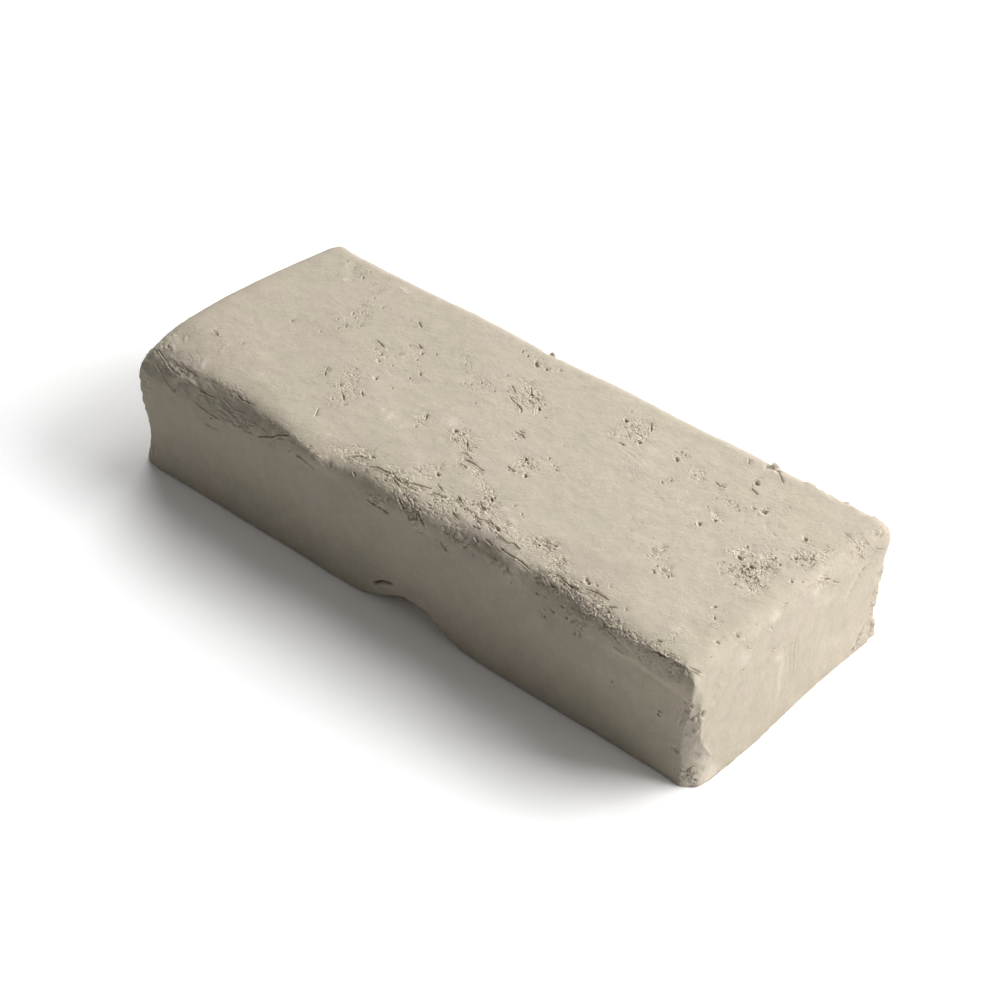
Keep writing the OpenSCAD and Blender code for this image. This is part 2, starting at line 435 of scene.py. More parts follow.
def smear(skin, sheet, points, width=0.5, height=0.05, pale=0.6):
    """A soft ridge of clay dragged along by a finger, rubbed paler than the rest."""
    points = np.array(points, float)
    chosen, across, down = sheet.near(points, 3 * width)
    gap, _, along, length = closest(sheet, points, across, down)
    taper = ease(np.minimum(along, length - along) / max(0.3, 0.4 * length) + 0.35)
    ridge = np.exp(-(gap / width) ** 2) * taper
    skin.lift[chosen] += height * ridge
    deepen(skin.pale, chosen, pale * ridge)
    if width < 0.35:
        skin.busy[chosen[gap < 2.5 * width]] = True


def dent(skin, sheet, centre, radii, depth, turn=0):
    """A broad soft hollow; a negative depth is a swelling."""
    chosen, along, over = sheet.around(centre, radii, turn, 2.2)
    skin.lift[chosen] -= depth * np.exp(-((along / radii[0]) ** 2 + (over / radii[1]) ** 2))


# ---------- the block's own shape ----------

def smooth_row(values, passes):
    """Even out a row of numbers, keeping its ends."""
    for _ in range(passes):
        padded = np.concatenate((values[:1], values, values[-1:]))
        values = 0.25 * padded[:-2] + 0.5 * padded[1:-1] + 0.25 * padded[2:]
    return values


class RolledProfile:
    """The mean y of the rolled front edge for each x and each step down over it."""

    def __init__(self, skin):
        self.columns = np.arange(-57.0, 57.0)
        self.rows = np.arange(-33.0, -10.0, 0.25)
        columns, rows = self.columns, self.rows
        x, y, z = skin.place.T
        down = y - (TOP - z)
        used = (y < -9) & (skin.facing[:, 1] < 0.3) & (skin.facing[:, 2] > -0.3)
        used &= (down > rows[0]) & (down < rows[-1] + 0.3)
        used &= (x > columns[0] - 0.5) & (x < columns[-1] + 0.5)
        column = np.clip(np.round(x[used] - columns[0]).astype(int), 0, len(columns) - 1)
        row = np.clip(np.round((down[used] - rows[0]) / (rows[1] - rows[0])).astype(int), 0, len(rows) - 1)
        cell = column * len(rows) + row
        count = np.bincount(cell, minlength=len(columns) * len(rows))
        total = np.bincount(cell, weights=y[used], minlength=len(columns) * len(rows))
        mean = np.where(count > 0, total / np.maximum(count, 1), np.nan).reshape(len(columns), len(rows))
        for line in mean:
            known = ~np.isnan(line)
            line[:] = np.interp(rows, rows[known], line[known]) if known.any() else rows * 0
        self.table = smooth_row(mean, 12)

    def at(self, x, down):
        """Read the profile between its columns and rows."""
        rows, table = self.rows, self.table
        across = np.clip(x - self.columns[0], 0, len(self.columns) - 1.001)
        along = np.clip((down - rows[0]) / (rows[1] - rows[0]), 0, len(rows) - 1.001)
        left, low = across.astype(int), along.astype(int)
        across, along = across - left, along - low
        near = table[left, low] * (1 - along) + table[left, low + 1] * along
        far = table[left + 1, low] * (1 - along) + table[left + 1, low + 1] * along
        return near * (1 - across) + far * across


CREASE_BENDS = (
    (-55, -19.5), (-50, -22), (-40, -21), (-35, -21), (-30, -22.5), (-25, -22.5), (-20, -24.5), (-15, -25),
    (-10, -23.5), (10, -23.5), (20, -22), (25, -24), (30, -23), (35, -24), (40, -26), (50, -27),
)


def lie_of_the_roll(skin, x):
    """How far down the crease, the foot of the roll and its start lie at each point."""
    row_x = skin.place * (1, 0, 0)
    uneven = skin.place * (1, 0.8, 0.8)
    ragged = 0.35 * lumps(uneven, 3.2, 41) + 0.2 * lumps(uneven, 1.4, 42) + 0.1 * lumps(uneven, 0.7, 43)
    at, crease = zip(*CREASE_BENDS)
    crease_down = np.interp(x, at, crease) + ragged
    foot_down = np.interp(x, (20, 42), (-28.2, -29.8))
    foot_down = foot_down + 0.9 * lumps(row_x, 6.5, 44) + 0.5 * lumps(row_x, 2.4, 45)
    start_down = FRONT + np.interp(x, (-57, 20, 60), (5.2, 4.0, 2.4)) + 0.6
    return crease_down, foot_down, start_down


def top_carried_on(profile, x, start_down):
    """The height and slope of the top, as it would run straight on over the roll."""
    inner, outer = start_down + 2.6, start_down + 0.4
    inner_y, outer_y = profile.at(x, inner), profile.at(x, outer)
    inner_z, outer_z = inner + TOP - inner_y, outer + TOP - outer_y
    slope = np.clip((outer_z - inner_z) / (outer_y - inner_y), -0.05, 0.3)
    return outer_z - slope * outer_y, slope


def crease_front_edge(skin):
    """The top rolls over the front past a wandering crease, sharp at the left and round at the right."""
    x, y, z = skin.place.T
    down = y - (TOP - z)
    profile = RolledProfile(skin)
    crease_down, foot_down, start_down = lie_of_the_roll(skin, x)
    flat, slope = top_carried_on(profile, x, start_down)
    # The foot of the roll hangs out over the wall by this much.
    overhang = np.interp(x, (-60, -30, 28, 42, 52, 60), (0.3, 0.25, 0.15, 0.7, 0.6, 0.1))
    foot_y = profile.at(x, foot_down) - overhang * ease((foot_down + 38) / 8)
    # The crease lies a little under the flat top, and lower where it comes further down.
    drop = np.interp(x, (-30, -18), (0.4, 0.2)) + 0.25 * np.clip(-21 - crease_down, 0, 5)
    crease_y = np.minimum((crease_down + TOP - flat + drop) / (1 + slope), profile.at(x, crease_down))
    drop = flat + crease_y * (1 + slope) - crease_down - TOP
    # How round the crease is, and how far the band below it bulges.
    soft = np.interp(x, (-62, -45, -30, -22, -12, 2, 24, 32, 40, 62),
                     (0.4, 0.3, 0.25, 0.5, 0.8, 1.1, 1.1, 0.7, 1.3, 1.5))
    swell = np.interp(x, (-62, -20, 2, 15, 30, 45), (0.4, 0.3, 0.5, 0.5, 0.3, 0.1))

    def worked_y(here):
        """Where the skin lies at one step down: on the top above the crease, on the roll's band below it."""
        share = np.clip((crease_down - here) / (crease_down - foot_down), 0, 1)
        band_y = crease_y + (foot_y - crease_y) * share - swell * np.sin(np.pi * share)
        into = np.clip((start_down + 1.6 - here) / (start_down + 1.6 - crease_down), 0, 1)
        top_y = (here + TOP - flat + drop * into ** 3.2) / (1 + slope)
        return np.where(here < crease_down, band_y, top_y)

    target = sum(worked_y(down + soft * step) / 5 for step in (-1, -0.5, 0, 0.5, 1))
    on_band = ease((down - foot_down) / 1.2)
    target = target * on_band + (y - overhang * ease((down + 38) / 8)) * (1 - on_band)
    # Moving along the line of sight keeps each point's place in the camera's view.
    move = (target - y) / SIGHT[1]
    fade = ease((start_down + 3.2 - down) / 3.0) * ease((61 - x) / 3) * ease((x + 57) / 3)
    on_roll = (skin.facing[:, 2] > -0.3) & (skin.facing[:, 1] < 0.25)
    on_roll &= (down < start_down + 3.2) & (y < -12)
    move = np.where(on_roll, np.clip(move, -0.9, 2.2) * fade, 0)
    skin.place += SIGHT * move[:, None]


def walls_by_the_corner(skin):
    """The front wall's y and the end's x beside the near corner, for each millimetre of height."""
    x, y, z = skin.place.T
    heights = np.arange(0.0, 25.0)
    wall_y, end_x = np.zeros(25), np.zeros(25)
    for index, height in enumerate(heights):
        level = np.abs(z - height) < 0.8
        front = level & (np.abs(x - 56) < 1) & (skin.facing[:, 1] < -0.6)
        end = level & (np.abs(y + 15) < 1) & (skin.facing[:, 0] > 0.6)
        wall_y[index] = y[front].mean() if front.any() else FRONT
        end_x[index] = x[end].mean() if end.any() else END
    return heights, smooth_row(wall_y, 2), smooth_row(end_x, 2)


def trim_near_corner(skin):
    """The near upright corner is worn to a narrow ragged face that widens towards the foot."""
    x, y, z = skin.place.T
    height = np.clip(z, 0, 24)
    levels = (0, 2, 5, 8, 11, 14, 17, 20, 24)
    left = np.interp(height, levels, (59.1, 58.9, 58.8, 58.5, 59.0, 59.7, 59.8, 60.0, 60.2))
    right = np.interp(height, levels, (66.6, 66.5, 65.0, 63.1, 61.9, 62.3, 62.3, 62.4, 62.2))
    left = left + 0.25 * lumps(skin.place, 1.5, 11) + 0.15 * lumps(skin.place, 0.6, 12)
    right = right + 0.35 * lumps(skin.place, 1.3, 13) + 0.25 * lumps(skin.place, 0.6, 16) + 0.1
    heights, wall_y, end_x = walls_by_the_corner(skin)
    wall = np.interp(height, heights, wall_y)
    end = np.interp(height, heights, end_x)
    around = x + y - FRONT
    first_x = left + FRONT - wall
    swell = np.interp(height, levels, (0.75, 0.7, 0.5, 0.25, 0, 0, 0, 0, 0))
    target = 0
    for shift in (-0.12, 0, 0.12):
        here = around + shift
        share = (here - left) / (right - left)
        worn_x = first_x + (end - first_x) * share + swell * np.sin(np.pi * np.clip(share, 0, 1))
        flat_x = np.where(share <= 0, here + FRONT - wall, np.where(share >= 1, end, worn_x))
        target = target + flat_x / 3
    near = (x > 54) & (y < -10)
    fade = ease((23.3 - z) / 2.2) * ease((around - 54.5) / 3) * ease((74 - around) / 5)
    shift_x = np.where(near, np.clip(target - x, -2.5, 1.2) * fade, 0)
    skin.place[:, 0] += shift_x
    skin.place[:, 1] -= shift_x
    # Painted highlight: the worn face is painted paler, for the light it catches.
    inside = ease((around - left) / 0.3) * ease((right - around) / 0.3)
    skin.pale = np.maximum(skin.pale, np.where(near, 0.95 * inside * fade * ease((19 - z) / 7), 0))


def pull(skin, centre, reach, move):
    """Draw the clay near one place a little way, as a thumb would."""
    gap = np.linalg.norm((skin.place - centre) / reach, axis=1)
    skin.place += np.exp(-gap ** 2)[:, None] * np.array(move)


def heal_behind_the_flake(skin):
    """Right of its lifted tip the torn scale has been pressed back, so the back edge runs on over it."""
    x, y, z = skin.place.T
    low, high = (np.array(corner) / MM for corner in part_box("edge_flake"))
    beside = (np.abs(x - high[0] - 4) < 1.5) & (skin.facing[:, 2] > 0.05) & (y > low[1] - 3) & (z > 20)
    steps = np.arange(low[1] - 3, BACK + 0.2, 0.25)
    heights = [z[beside & (np.abs(y - step) < 0.2)] for step in steps]
    known = [index for index, row in enumerate(heights) if len(row)]
    edge = np.interp(steps, steps[known], [heights[index].mean() for index in known])
    inner = (np.abs(y - low[1] + 2) < 0.6) & (skin.facing[:, 2] > 0.7)
    along = np.arange(low[0] - 1, high[0] + 5, 0.5)
    top = np.array([z[inner & (np.abs(x - step) < 0.6)].mean() for step in along])
    target = np.interp(y, steps, edge) + np.interp(x, along, top) - top[-3:].mean()
    torn = (x > low[0] - 1) & (x < high[0] + 1) & (y > low[1] - 1) & (z > low[2] - 0.4) & (z < target)
    ragged = 0.4 * lumps(skin.place, 0.8, 46)
    healed = np.maximum(ease((x - low[0] - 0.9 + ragged) / 0.8), ease((TORN_LINE - y + ragged) / 0.7))
    skin.place[:, 2] += np.where(torn, (target - z) * healed, 0)


def roughen_far_edges(skin):
    """The far upright edge and the back edge by it are torn and crumbly; the left end is lumpy."""
    x, y, z = skin.place.T
    skin.place[:, 0] += 0.35 * ease((-52 - x) / 4) * ease((z - 13) / 6)
    pull(skin, (-55.6, 21.6, 23.4), 2.2, (-0.2, 0.6, 0.05))
    pull(skin, (60.3, 20.8, 21.8), 3.0, (0.65, 0.15, 0.1))
    place = skin.place
    x, y, z = place.T
    upright = np.exp(-((x - 60) / 2.0) ** 2 - ((y - 20.5) / 2.0) ** 2) * ease(z / 2)
    upright = upright * (0.15 + 0.85 * ease((17.5 - z) / 3))
    rough = 0.36 * lumps(place, 1.9, 13) + 0.3 * lumps(place, 0.9, 14) + 0.22 * lumps(place, 0.45, 15)
    skin.lift += upright * rough
    back = np.exp(-((y - 22.4) / 1.2) ** 2 - ((z - 23) / 1.2) ** 2) * ease((x - 42) / 4) * ease((59 - x) / 2)
    teeth = 0.6 * lumps(place, 1.3, 14) + 0.5 * lumps(place, 0.6, 15)
    skin.lift += back * teeth
    # Painted shade in the dips between the torn teeth.
    skin.hollow = np.maximum(skin.hollow, 0.45 * ease((back + upright) * (-0.1 - teeth) * 3))
    rim = np.exp(-((y - 22.2) / 1.5) ** 2 - ((z - 23) / 1.5) ** 2) + np.exp(-((x + 60) / 1.5) ** 2)
    foot = np.exp(-(z / 1.2) ** 2) * ((y < -20) | (x > 58))
    skin.lift += (0.7 * rim + foot) * (0.1 * lumps(place, 1.9, 47) + 0.06 * lumps(place, 0.9, 48))
    left = np.exp(-((x + 57.5) / 2.5) ** 2) * np.exp(-((y + 20) / 6) ** 2)
    skin.lift += 0.5 * left * rough
    # Painted shade in the dips of the lumpy left end.
    skin.hollow = np.maximum(skin.hollow, 0.8 * left * ease(-3 * rough))
    skin.busy[(upright > 0.3) | (back > 0.3) | (left > 0.4)] = True


# ---------- marks --------------------------

# Each mark lies on a sheet at (across, down), in mm. On the top, over_front is (x, y) and over_end is
# (y, x). Past the edge both run on over the wall by its depth below the top. round_corner is (the way
# round the near upright corner, height).

LONG_CRACK = dict(width=0.13, depth=0.45, lip=0.12, dark=1.15, broken=0.6)
FINE_CRACK = dict(width=0.1, depth=0.32, lip=0.09, dark=1.1, broken=0.6)
HAIR_CRACK = dict(width=0.075, depth=0.2, lip=0.09, dark=0.6)
ROLL_CREASE = dict(width=0.11, depth=0.24, lip=0.2, dark=0.9, broken=0.6)
BAND_FOLD = dict(width=0.12, depth=0.12, lip=0.14, dark=0.3, broken=0.9)
FAINT_LINE = dict(width=0.16, depth=0.1, lip=0.06, dark=0.25)


def each(tool, skin, sheet, rows):
    """Use a tool once for each row of its settings."""
    for row in rows:
        tool(skin, sheet, *row)


def tear(skin, sheet, lines, kind):
    """Tear a crack of one kind along each line."""
    for line in lines:
        crevice(skin, sheet, line, **kind)


def pinholes(skin, sheet, centres, grain, long=0.35):
    """Small round holes, with a crumb or two beside each."""
    for centre in centres:
        pit(skin, sheet, centre, long, 0.1, 0.25, grain, 0.06, 1.0)


def pits(skin, sheet, rows, narrow, depth, grain, lip=0.08, dark=1.2):
    """Torn pits, each with its own length and width, narrowed alike."""
    for centre, long, wide in rows:
        pit(skin, sheet, centre, 0.8 * long, narrow * wide, depth, grain, lip, dark)


def break_the_edge(skin):
    """Where the skin has dried and broken along the rolled front edge."""
    broken_patches(skin, skin.over_front, (
        ((-56, -16), (2.5, 1.5), 90, 0.7), ((-55, -20), (2, 1.5), 0, 0.8), ((-50, -23), (3.5, 2), -10, 0.6),
        ((-45.5, -26.3), (1.2, 1), 0, 0.7), ((-37, -21), (7, 1.6), 0, 0.65),
        ((-25, -23), (4.5, 2.6), -15, 0.7), ((-27, -27), (2.2, 1), 30, 0.6), ((-16, -22), (4, 1.8), 0, 0.5),
        ((-9.5, -20.5), (4, 3.4), 0, 0.95), ((-1, -20.5), (5.5, 3.2), 0, 1), ((3.5, -24), (5, 3), -20, 1),
        ((1.5, -16), (2.5, 2.2), 0, 0.8), ((8.5, -20), (4, 3.4), 0, 0.95),
        ((13.5, -16.5), (3.4, 3.6), -10, 0.95), ((19, -18.5), (4, 2.6), -15, 0.9),
        ((24, -18.5), (3.5, 2), 0, 0.8), ((27, -17), (3, 2.2), 0, 0.9), ((27, -24), (2.5, 1.4), 0, 0.7),
        ((31.5, -19.5), (3.5, 2.6), -30, 0.8), ((35, -22.5), (5, 3.2), -10, 1),
        ((41, -23.5), (6, 3.2), -10, 1), ((47, -24.5), (4, 2), 0, 0.85), ((32, -30), (2, 2), 45, 0.7),
        ((38.5, -28), (2.5, 1.5), 90, 0.8), ((54, -24.5), (6, 1.8), 0, 0.8),
        ((12, -27.5), (3, 1.2), 0, 0.6), ((17.5, -29.3), (1.5, 1), 30, 0.5),
        ((-2.5, -27), (4, 1.3), 0, 0.7), ((55, -35), (1.5, 1.5), 0, 0.6),
        ((45.5, -34.5), (1.3, 1.2), 0, 0.5), ((59.5, -32), (7, 1.6), 90, 0.6), ((16, -23), (6, 2), 0, 0.5),
        ((24, -22), (5, 1.6), 0, 0.55), ((-34, -25), (8, 2), 0, 0.4), ((-49, -19), (3, 1.5), 0, 0.5),
    ))


def break_the_top(skin):
    """Patches of broken skin across the top, most of them towards the right end."""
    broken_patches(skin, skin.over_front, (
        ((-36.5, 8), (4.8, 2), -65, 0.6), ((-26, 2.5), (4, 1.4), -60, 0.9), ((-22, 7), (2, 1), -50, 0.6),
        ((-17, 1.5), (2.2, 1), -50, 0.6), ((-23, -8.5), (6, 2.4), -55, 0.7),
        ((-22.8, -10.5), (2.4, 1.4), -45, 0.9), ((-29, -7.3), (1.6, 1), -50, 0.7),
        ((-41, 15), (5, 2), -50, 0.45), ((-46, 18), (3.5, 2), -20, 0.5), ((-14, 10), (3, 1.5), -60, 0.5),
        ((-10, 7), (4, 2), -50, 0.6), ((-5, 17.5), (3, 1.6), -20, 0.85), ((0, 9.5), (5.5, 2), -40, 0.95),
        ((5.5, 0.6), (2, 1.2), -30, 0.8), ((11.5, -4.8), (2.6, 2.2), -45, 0.9),
        ((15, -1.5), (2, 1), -50, 0.7), ((-8.7, -6), (2, 1.2), -50, 0.8), ((1.5, -7), (7, 1.8), -45, 0.9),
        ((8.5, -11.5), (3.5, 1.2), -30, 0.8), ((11.5, -13), (3, 1.5), -20, 0.8),
        ((18, 14), (5.5, 3), -60, 0.8), ((27, 14), (2.4, 1.6), -45, 0.8),
        ((32, 11.3), (2.2, 1.4), -45, 0.9), ((30.5, 7.2), (1.8, 1.4), 50, 0.6),
        ((36.5, 11.5), (1.3, 1), 0, 0.7), ((40, 16), (2.2, 1.2), -70, 0.8),
        ((45.5, 11.3), (1.6, 1.4), 0, 0.8), ((40.3, 9.5), (2.6, 1.2), 0, 0.7),
        ((41.3, 5), (2.5, 1), -50, 0.8), ((24, 6), (5, 2), -30, 0.35), ((47, 14), (5, 2.5), -40, 0.4),
        ((48.5, 0.8), (1.8, 1.2), 0, 0.9), ((53, 0), (5, 3), 80, 1), ((57, 6.5), (4.5, 1.8), 70, 0.75),
        ((54.5, 9.5), (1.4, 1.4), 0, 0.8), ((56, -4), (2.5, 2), 90, 0.8),
        ((39.8, -6.5), (2.4, 2), -45, 0.85), ((43.8, -10), (2.4, 1.2), -40, 0.9),
        ((56, -13), (3, 1.6), 90, 0.5), ((54, -19), (3, 0.8), 90, 0.6), ((-47, -13), (3, 1.6), -60, 0.5),
        ((-52, -8), (3, 1.6), -50, 0.4),
    ))


def break_the_end(skin):
    """Patches of broken skin on the right end and up the near corner."""
    broken_patches(skin, skin.over_end, (
        ((19.5, 61.2), (1.6, 1.4), 0, 0.9), ((15.5, 61.5), (3, 1.8), 70, 0.8), ((6, 57), (3, 2), -40, 0.6),
        ((5.8, 62.4), (1.8, 1.4), -20, 0.7), ((-2.7, 53), (2, 2), 0, 0.5), ((0, 62), (6, 1.6), 0, 0.4),
        ((-12, 63.5), (4, 1.4), 0, 0.4), ((18, 66), (2.5, 1.6), 60, 0.6),
        ((16.5, 80.5), (2.6, 1.2), -45, 1), ((20.5, 74), (4, 1), 90, 0.7),
    ), grain=40)
    broken_patches(skin, skin.round_corner, (
        ((60.6, 2), (3, 1.6), 0, 1), ((62.5, 5), (3, 1.6), -60, 0.8), ((60.2, 10), (4, 1.0), 90, 0.6),
        ((60.2, 16), (4, 1.2), 90, 0.7), ((61.3, 12), (6, 0.8), 90, 0.7), ((59.6, 14), (7, 0.6), 90, 0.7),
    ), grain=80)


def crack_front_edge(skin):
    """Long cracks where the top was rolled over the front, and short ones about them."""
    tear(skin, skin.over_front, (
        ((-11.5, -22), (-10.7, -21.1), (-9.7, -20.1), (-8.2, -19.5), (-7.7, -18.6), (-7, -18.4)),
        ((-6.5, -20.9), (-5, -20), (-3.2, -20), (-2, -19.5), (-1.2, -20.1), (0.5, -20.4), (2, -19.4),
         (3.2, -18.9), (5, -18.4)),
    ), LONG_CRACK)
    tear(skin, skin.over_front, (
        ((-1.4, -20.5), (1, -21.5)), ((5.5, -19), (7, -18.7), (8.4, -18.4)), ((5, -17), (6.7, -17.7)),
        ((9.2, -17.1), (10, -17.6), (11, -18.1)), ((12.5, -15.7), (13.5, -16.5), (14.9, -17)),
        ((14, -18.7), (15.2, -19.2), (17, -18.2), (19.2, -19)), ((15.2, -19.6), (16.7, -20)),
        ((20, -20), (22.2, -20.4), (23.5, -19.9), (25, -20.4)), ((15.5, -20.9), (17, -20.7)),
        ((10.7, -20.4), (12.6, -21.2)), ((22, -21.9), (24, -22.4), (26.4, -22.3), (28.4, -22.9)),
        ((-36, -21.6), (-34, -21.9), (-31.6, -21.7)),
        ((31.7, -21.4), (32.7, -21.1), (34, -21.5), (36.5, -21.7)),
        ((37.5, -20.9), (39, -20.4), (42, -20.4)),
    ), FINE_CRACK)


def fold_front_edge(skin):
    """Creases down the roll, and blunter folds along its left part."""
    tear(skin, skin.over_front, (
        ((-28.5, -27.1), (-27, -26.5), (-25, -25.5), (-24.2, -24.7), (-22, -23.6)),
        ((-4.2, -27.2), (0.8, -27.5)), ((9.9, -27.1), (11.2, -27.2), (12.4, -28.4)),
        ((1.7, -23.6), (3.5, -25.2)), ((5.7, -24.4), (8.2, -26.4)), ((3.7, -25.2), (5, -26.4), (6, -25.5)),
        ((17, -22.7), (18.2, -23.5)), ((19, -22.1), (20.7, -22.5)), ((-21.5, -27.2), (-20.7, -26)),
        ((-19.7, -26.4), (-15.5, -27.2)), ((-8.5, -23.5), (-7.7, -24.2)), ((-17.7, -23.5), (-17, -23.1)),
        ((53, -24.6), (54.5, -24.6)), ((54.5, -24.1), (56.2, -23.7)), ((58.7, -24), (60.4, -23.9)),
    ), ROLL_CREASE)
    tear(skin, skin.over_front, (
        ((-56, -21.5), (-53, -22.6), (-50.5, -23.9), (-48, -24.2)),
        ((-55, -24.5), (-52.5, -25.6), (-50, -27.4), (-47.5, -28.4)),
        ((-46.5, -24.2), (-43, -24.9), (-40, -24.6)), ((-44, -27.5), (-40.5, -28.3), (-37, -28.1)),
        ((-38.4, -23.8), (-35, -24.5), (-31.5, -24.2)), ((-30.4, -24.9), (-27.6, -25.2), (-25, -25.9)),
    ), BAND_FOLD)


def wrinkle_front_edge(skin):
    """Nets of fine folds along the roll, darker towards the right."""
    for centre, radii, depth, size, turn in (
        ((4, -21.3), (6.5, 2.2), 0.1, 0.5, -10), ((5, -24.6), (5.0, 2.3), 0.1, 0.55, -35),
        ((15.5, -18.3), (6, 3), 0.07, 0.55, -25), ((27.5, -17), (2.8, 1.9), 0.08, 0.45, 0),
        ((32.2, -18.8), (3.6, 2.4), 0.07, 0.5, -40), ((38, -23.6), (4.6, 2.5), 0.15, 0.5, -20),
        ((38, -27), (3.6, 2.6), 0.1, 0.6, -30), ((44, -24.6), (4, 2.6), 0.1, 0.42, -15),
        ((51, -25.2), (6, 2.2), 0.08, 0.38, 0), ((56, -26.2), (3.6, 2.6), 0.09, 0.42, 0),
        ((52, -27.5), (2.3, 2.6), 0.06, 0.42, 45), ((-2, -25.6), (3.2, 1.7), 0.08, 0.42, 0),
        ((-21.2, -23.6), (2.2, 1.2), 0.08, 0.4, 0), ((-38, -22.5), (5, 1.8), 0.06, 0.7, -10),
        ((-48, -25), (9, 3.2), 0.09, 1.0, -10), ((-36, -26), (11, 3.2), 0.08, 0.7, -12),
        ((-31, -25.5), (12, 2.8), 0.05, 0.8, 0), ((-48, -24), (6, 2.5), 0.07, 0.8, -20),
        ((-40, -24.5), (15, 3), 0.1, 1.3, -10), ((-30, -23.5), (9, 1.6), 0.06, 0.45, -15),
        ((48, -26.5), (11, 1.6), 0.06, 0.4, -8), ((-56, -27), (2.5, 8), 0.08, 0.8, 0),
        ((-12, -25), (8, 2.2), 0.06, 0.6, -10), ((13, -24), (7, 2.6), 0.07, 0.6, -20),
        ((22, -24.5), (8, 2.2), 0.06, 0.6, -15), ((30, -23.5), (5, 2), 0.06, 0.5, -20),
    ):
        dark = 0.5 if centre[0] < -27 else 0.9
        crinkle(skin, skin.over_front, centre, radii, depth, size, turn, 1.6, dark)


def pit_front_edge(skin):
    """Small pits over the roll and the wall below it, and a few rubbed ridges."""
    for centre, long, wide in (
        ((28.1, -16.2), 1, 0.3), ((32.2, -26.2), 0.9, 0.35), ((30.6, -26.4), 0.7, 0.3),
        ((33.6, -28), 1.1, 0.4), ((32.2, -28.6), 0.7, 0.3), ((32.4, -30), 0.6, 0.3),
        ((39, -29.2), 1.2, 0.5), ((38.2, -29.7), 0.8, 0.3), ((58, -25.4), 0.6, 0.3),
        ((59.6, -30.4), 0.9, 0.4), ((-48.6, -27.5), 0.7, 0.3), ((48, -27.2), 0.6, 0.2),
        ((54.1, -34.9), 0.8, 0.25), ((54, -35.7), 0.8, 0.25), ((45.4, -34.6), 0.6, 0.2),
        ((57.6, -40.6), 0.9, 0.4), ((-40, -29.1), 0.8, 0.3), ((35.3, -26.3), 0.7, 0.3),
        ((37.2, -25.4), 0.7, 0.3), ((36.4, -27.8), 0.6, 0.3),
    ):
        turn = skin.rng.uniform(-70, 20)
        pit(skin, skin.over_front, centre, 0.6 * long, 0.4 * wide, 0.25, turn, 0.08, 0.8)
    each(smear, skin, skin.over_front, (
        (((-50, -25), (-47, -24), (-44.5, -23.2)), 0.8, 0.08, 0.7),
        (((-45.7, -25.7), (-44.7, -26.5)), 0.3, 0.1, 0.8), (((-38.5, -26), (-37.5, -26.1)), 0.3, 0.08, 0.7),
        (((-34.4, -22), (-33, -22.2)), 0.3, 0.08, 0.8), (((17, -29.2), (18, -29.2)), 0.4, 0.05, 0.5),
        (((31.4, -32.1), (32.4, -32.1)), 0.4, 0.08, 0.5), (((26.7, -23.6), (27.8, -23.9)), 0.35, 0.1, 0.7),
        (((25, -22.2), (27, -23.4)), 0.9, 0.15, 0.4), (((13.2, -20.6), (15, -20.9)), 0.7, 0.12, 0.4),
        (((29.2, -21.1), (31.2, -21.3)), 0.6, 0.12, 0.4), (((39, -27), (38.6, -28.2)), 0.2, 0.1, 0.8),
        (((16, -14.5), (17.4, -14.7)), 0.7, 0.06, 0.8), (((18.6, -15.9), (21.5, -16.4)), 0.4, 0.05, 0.7),
    ))


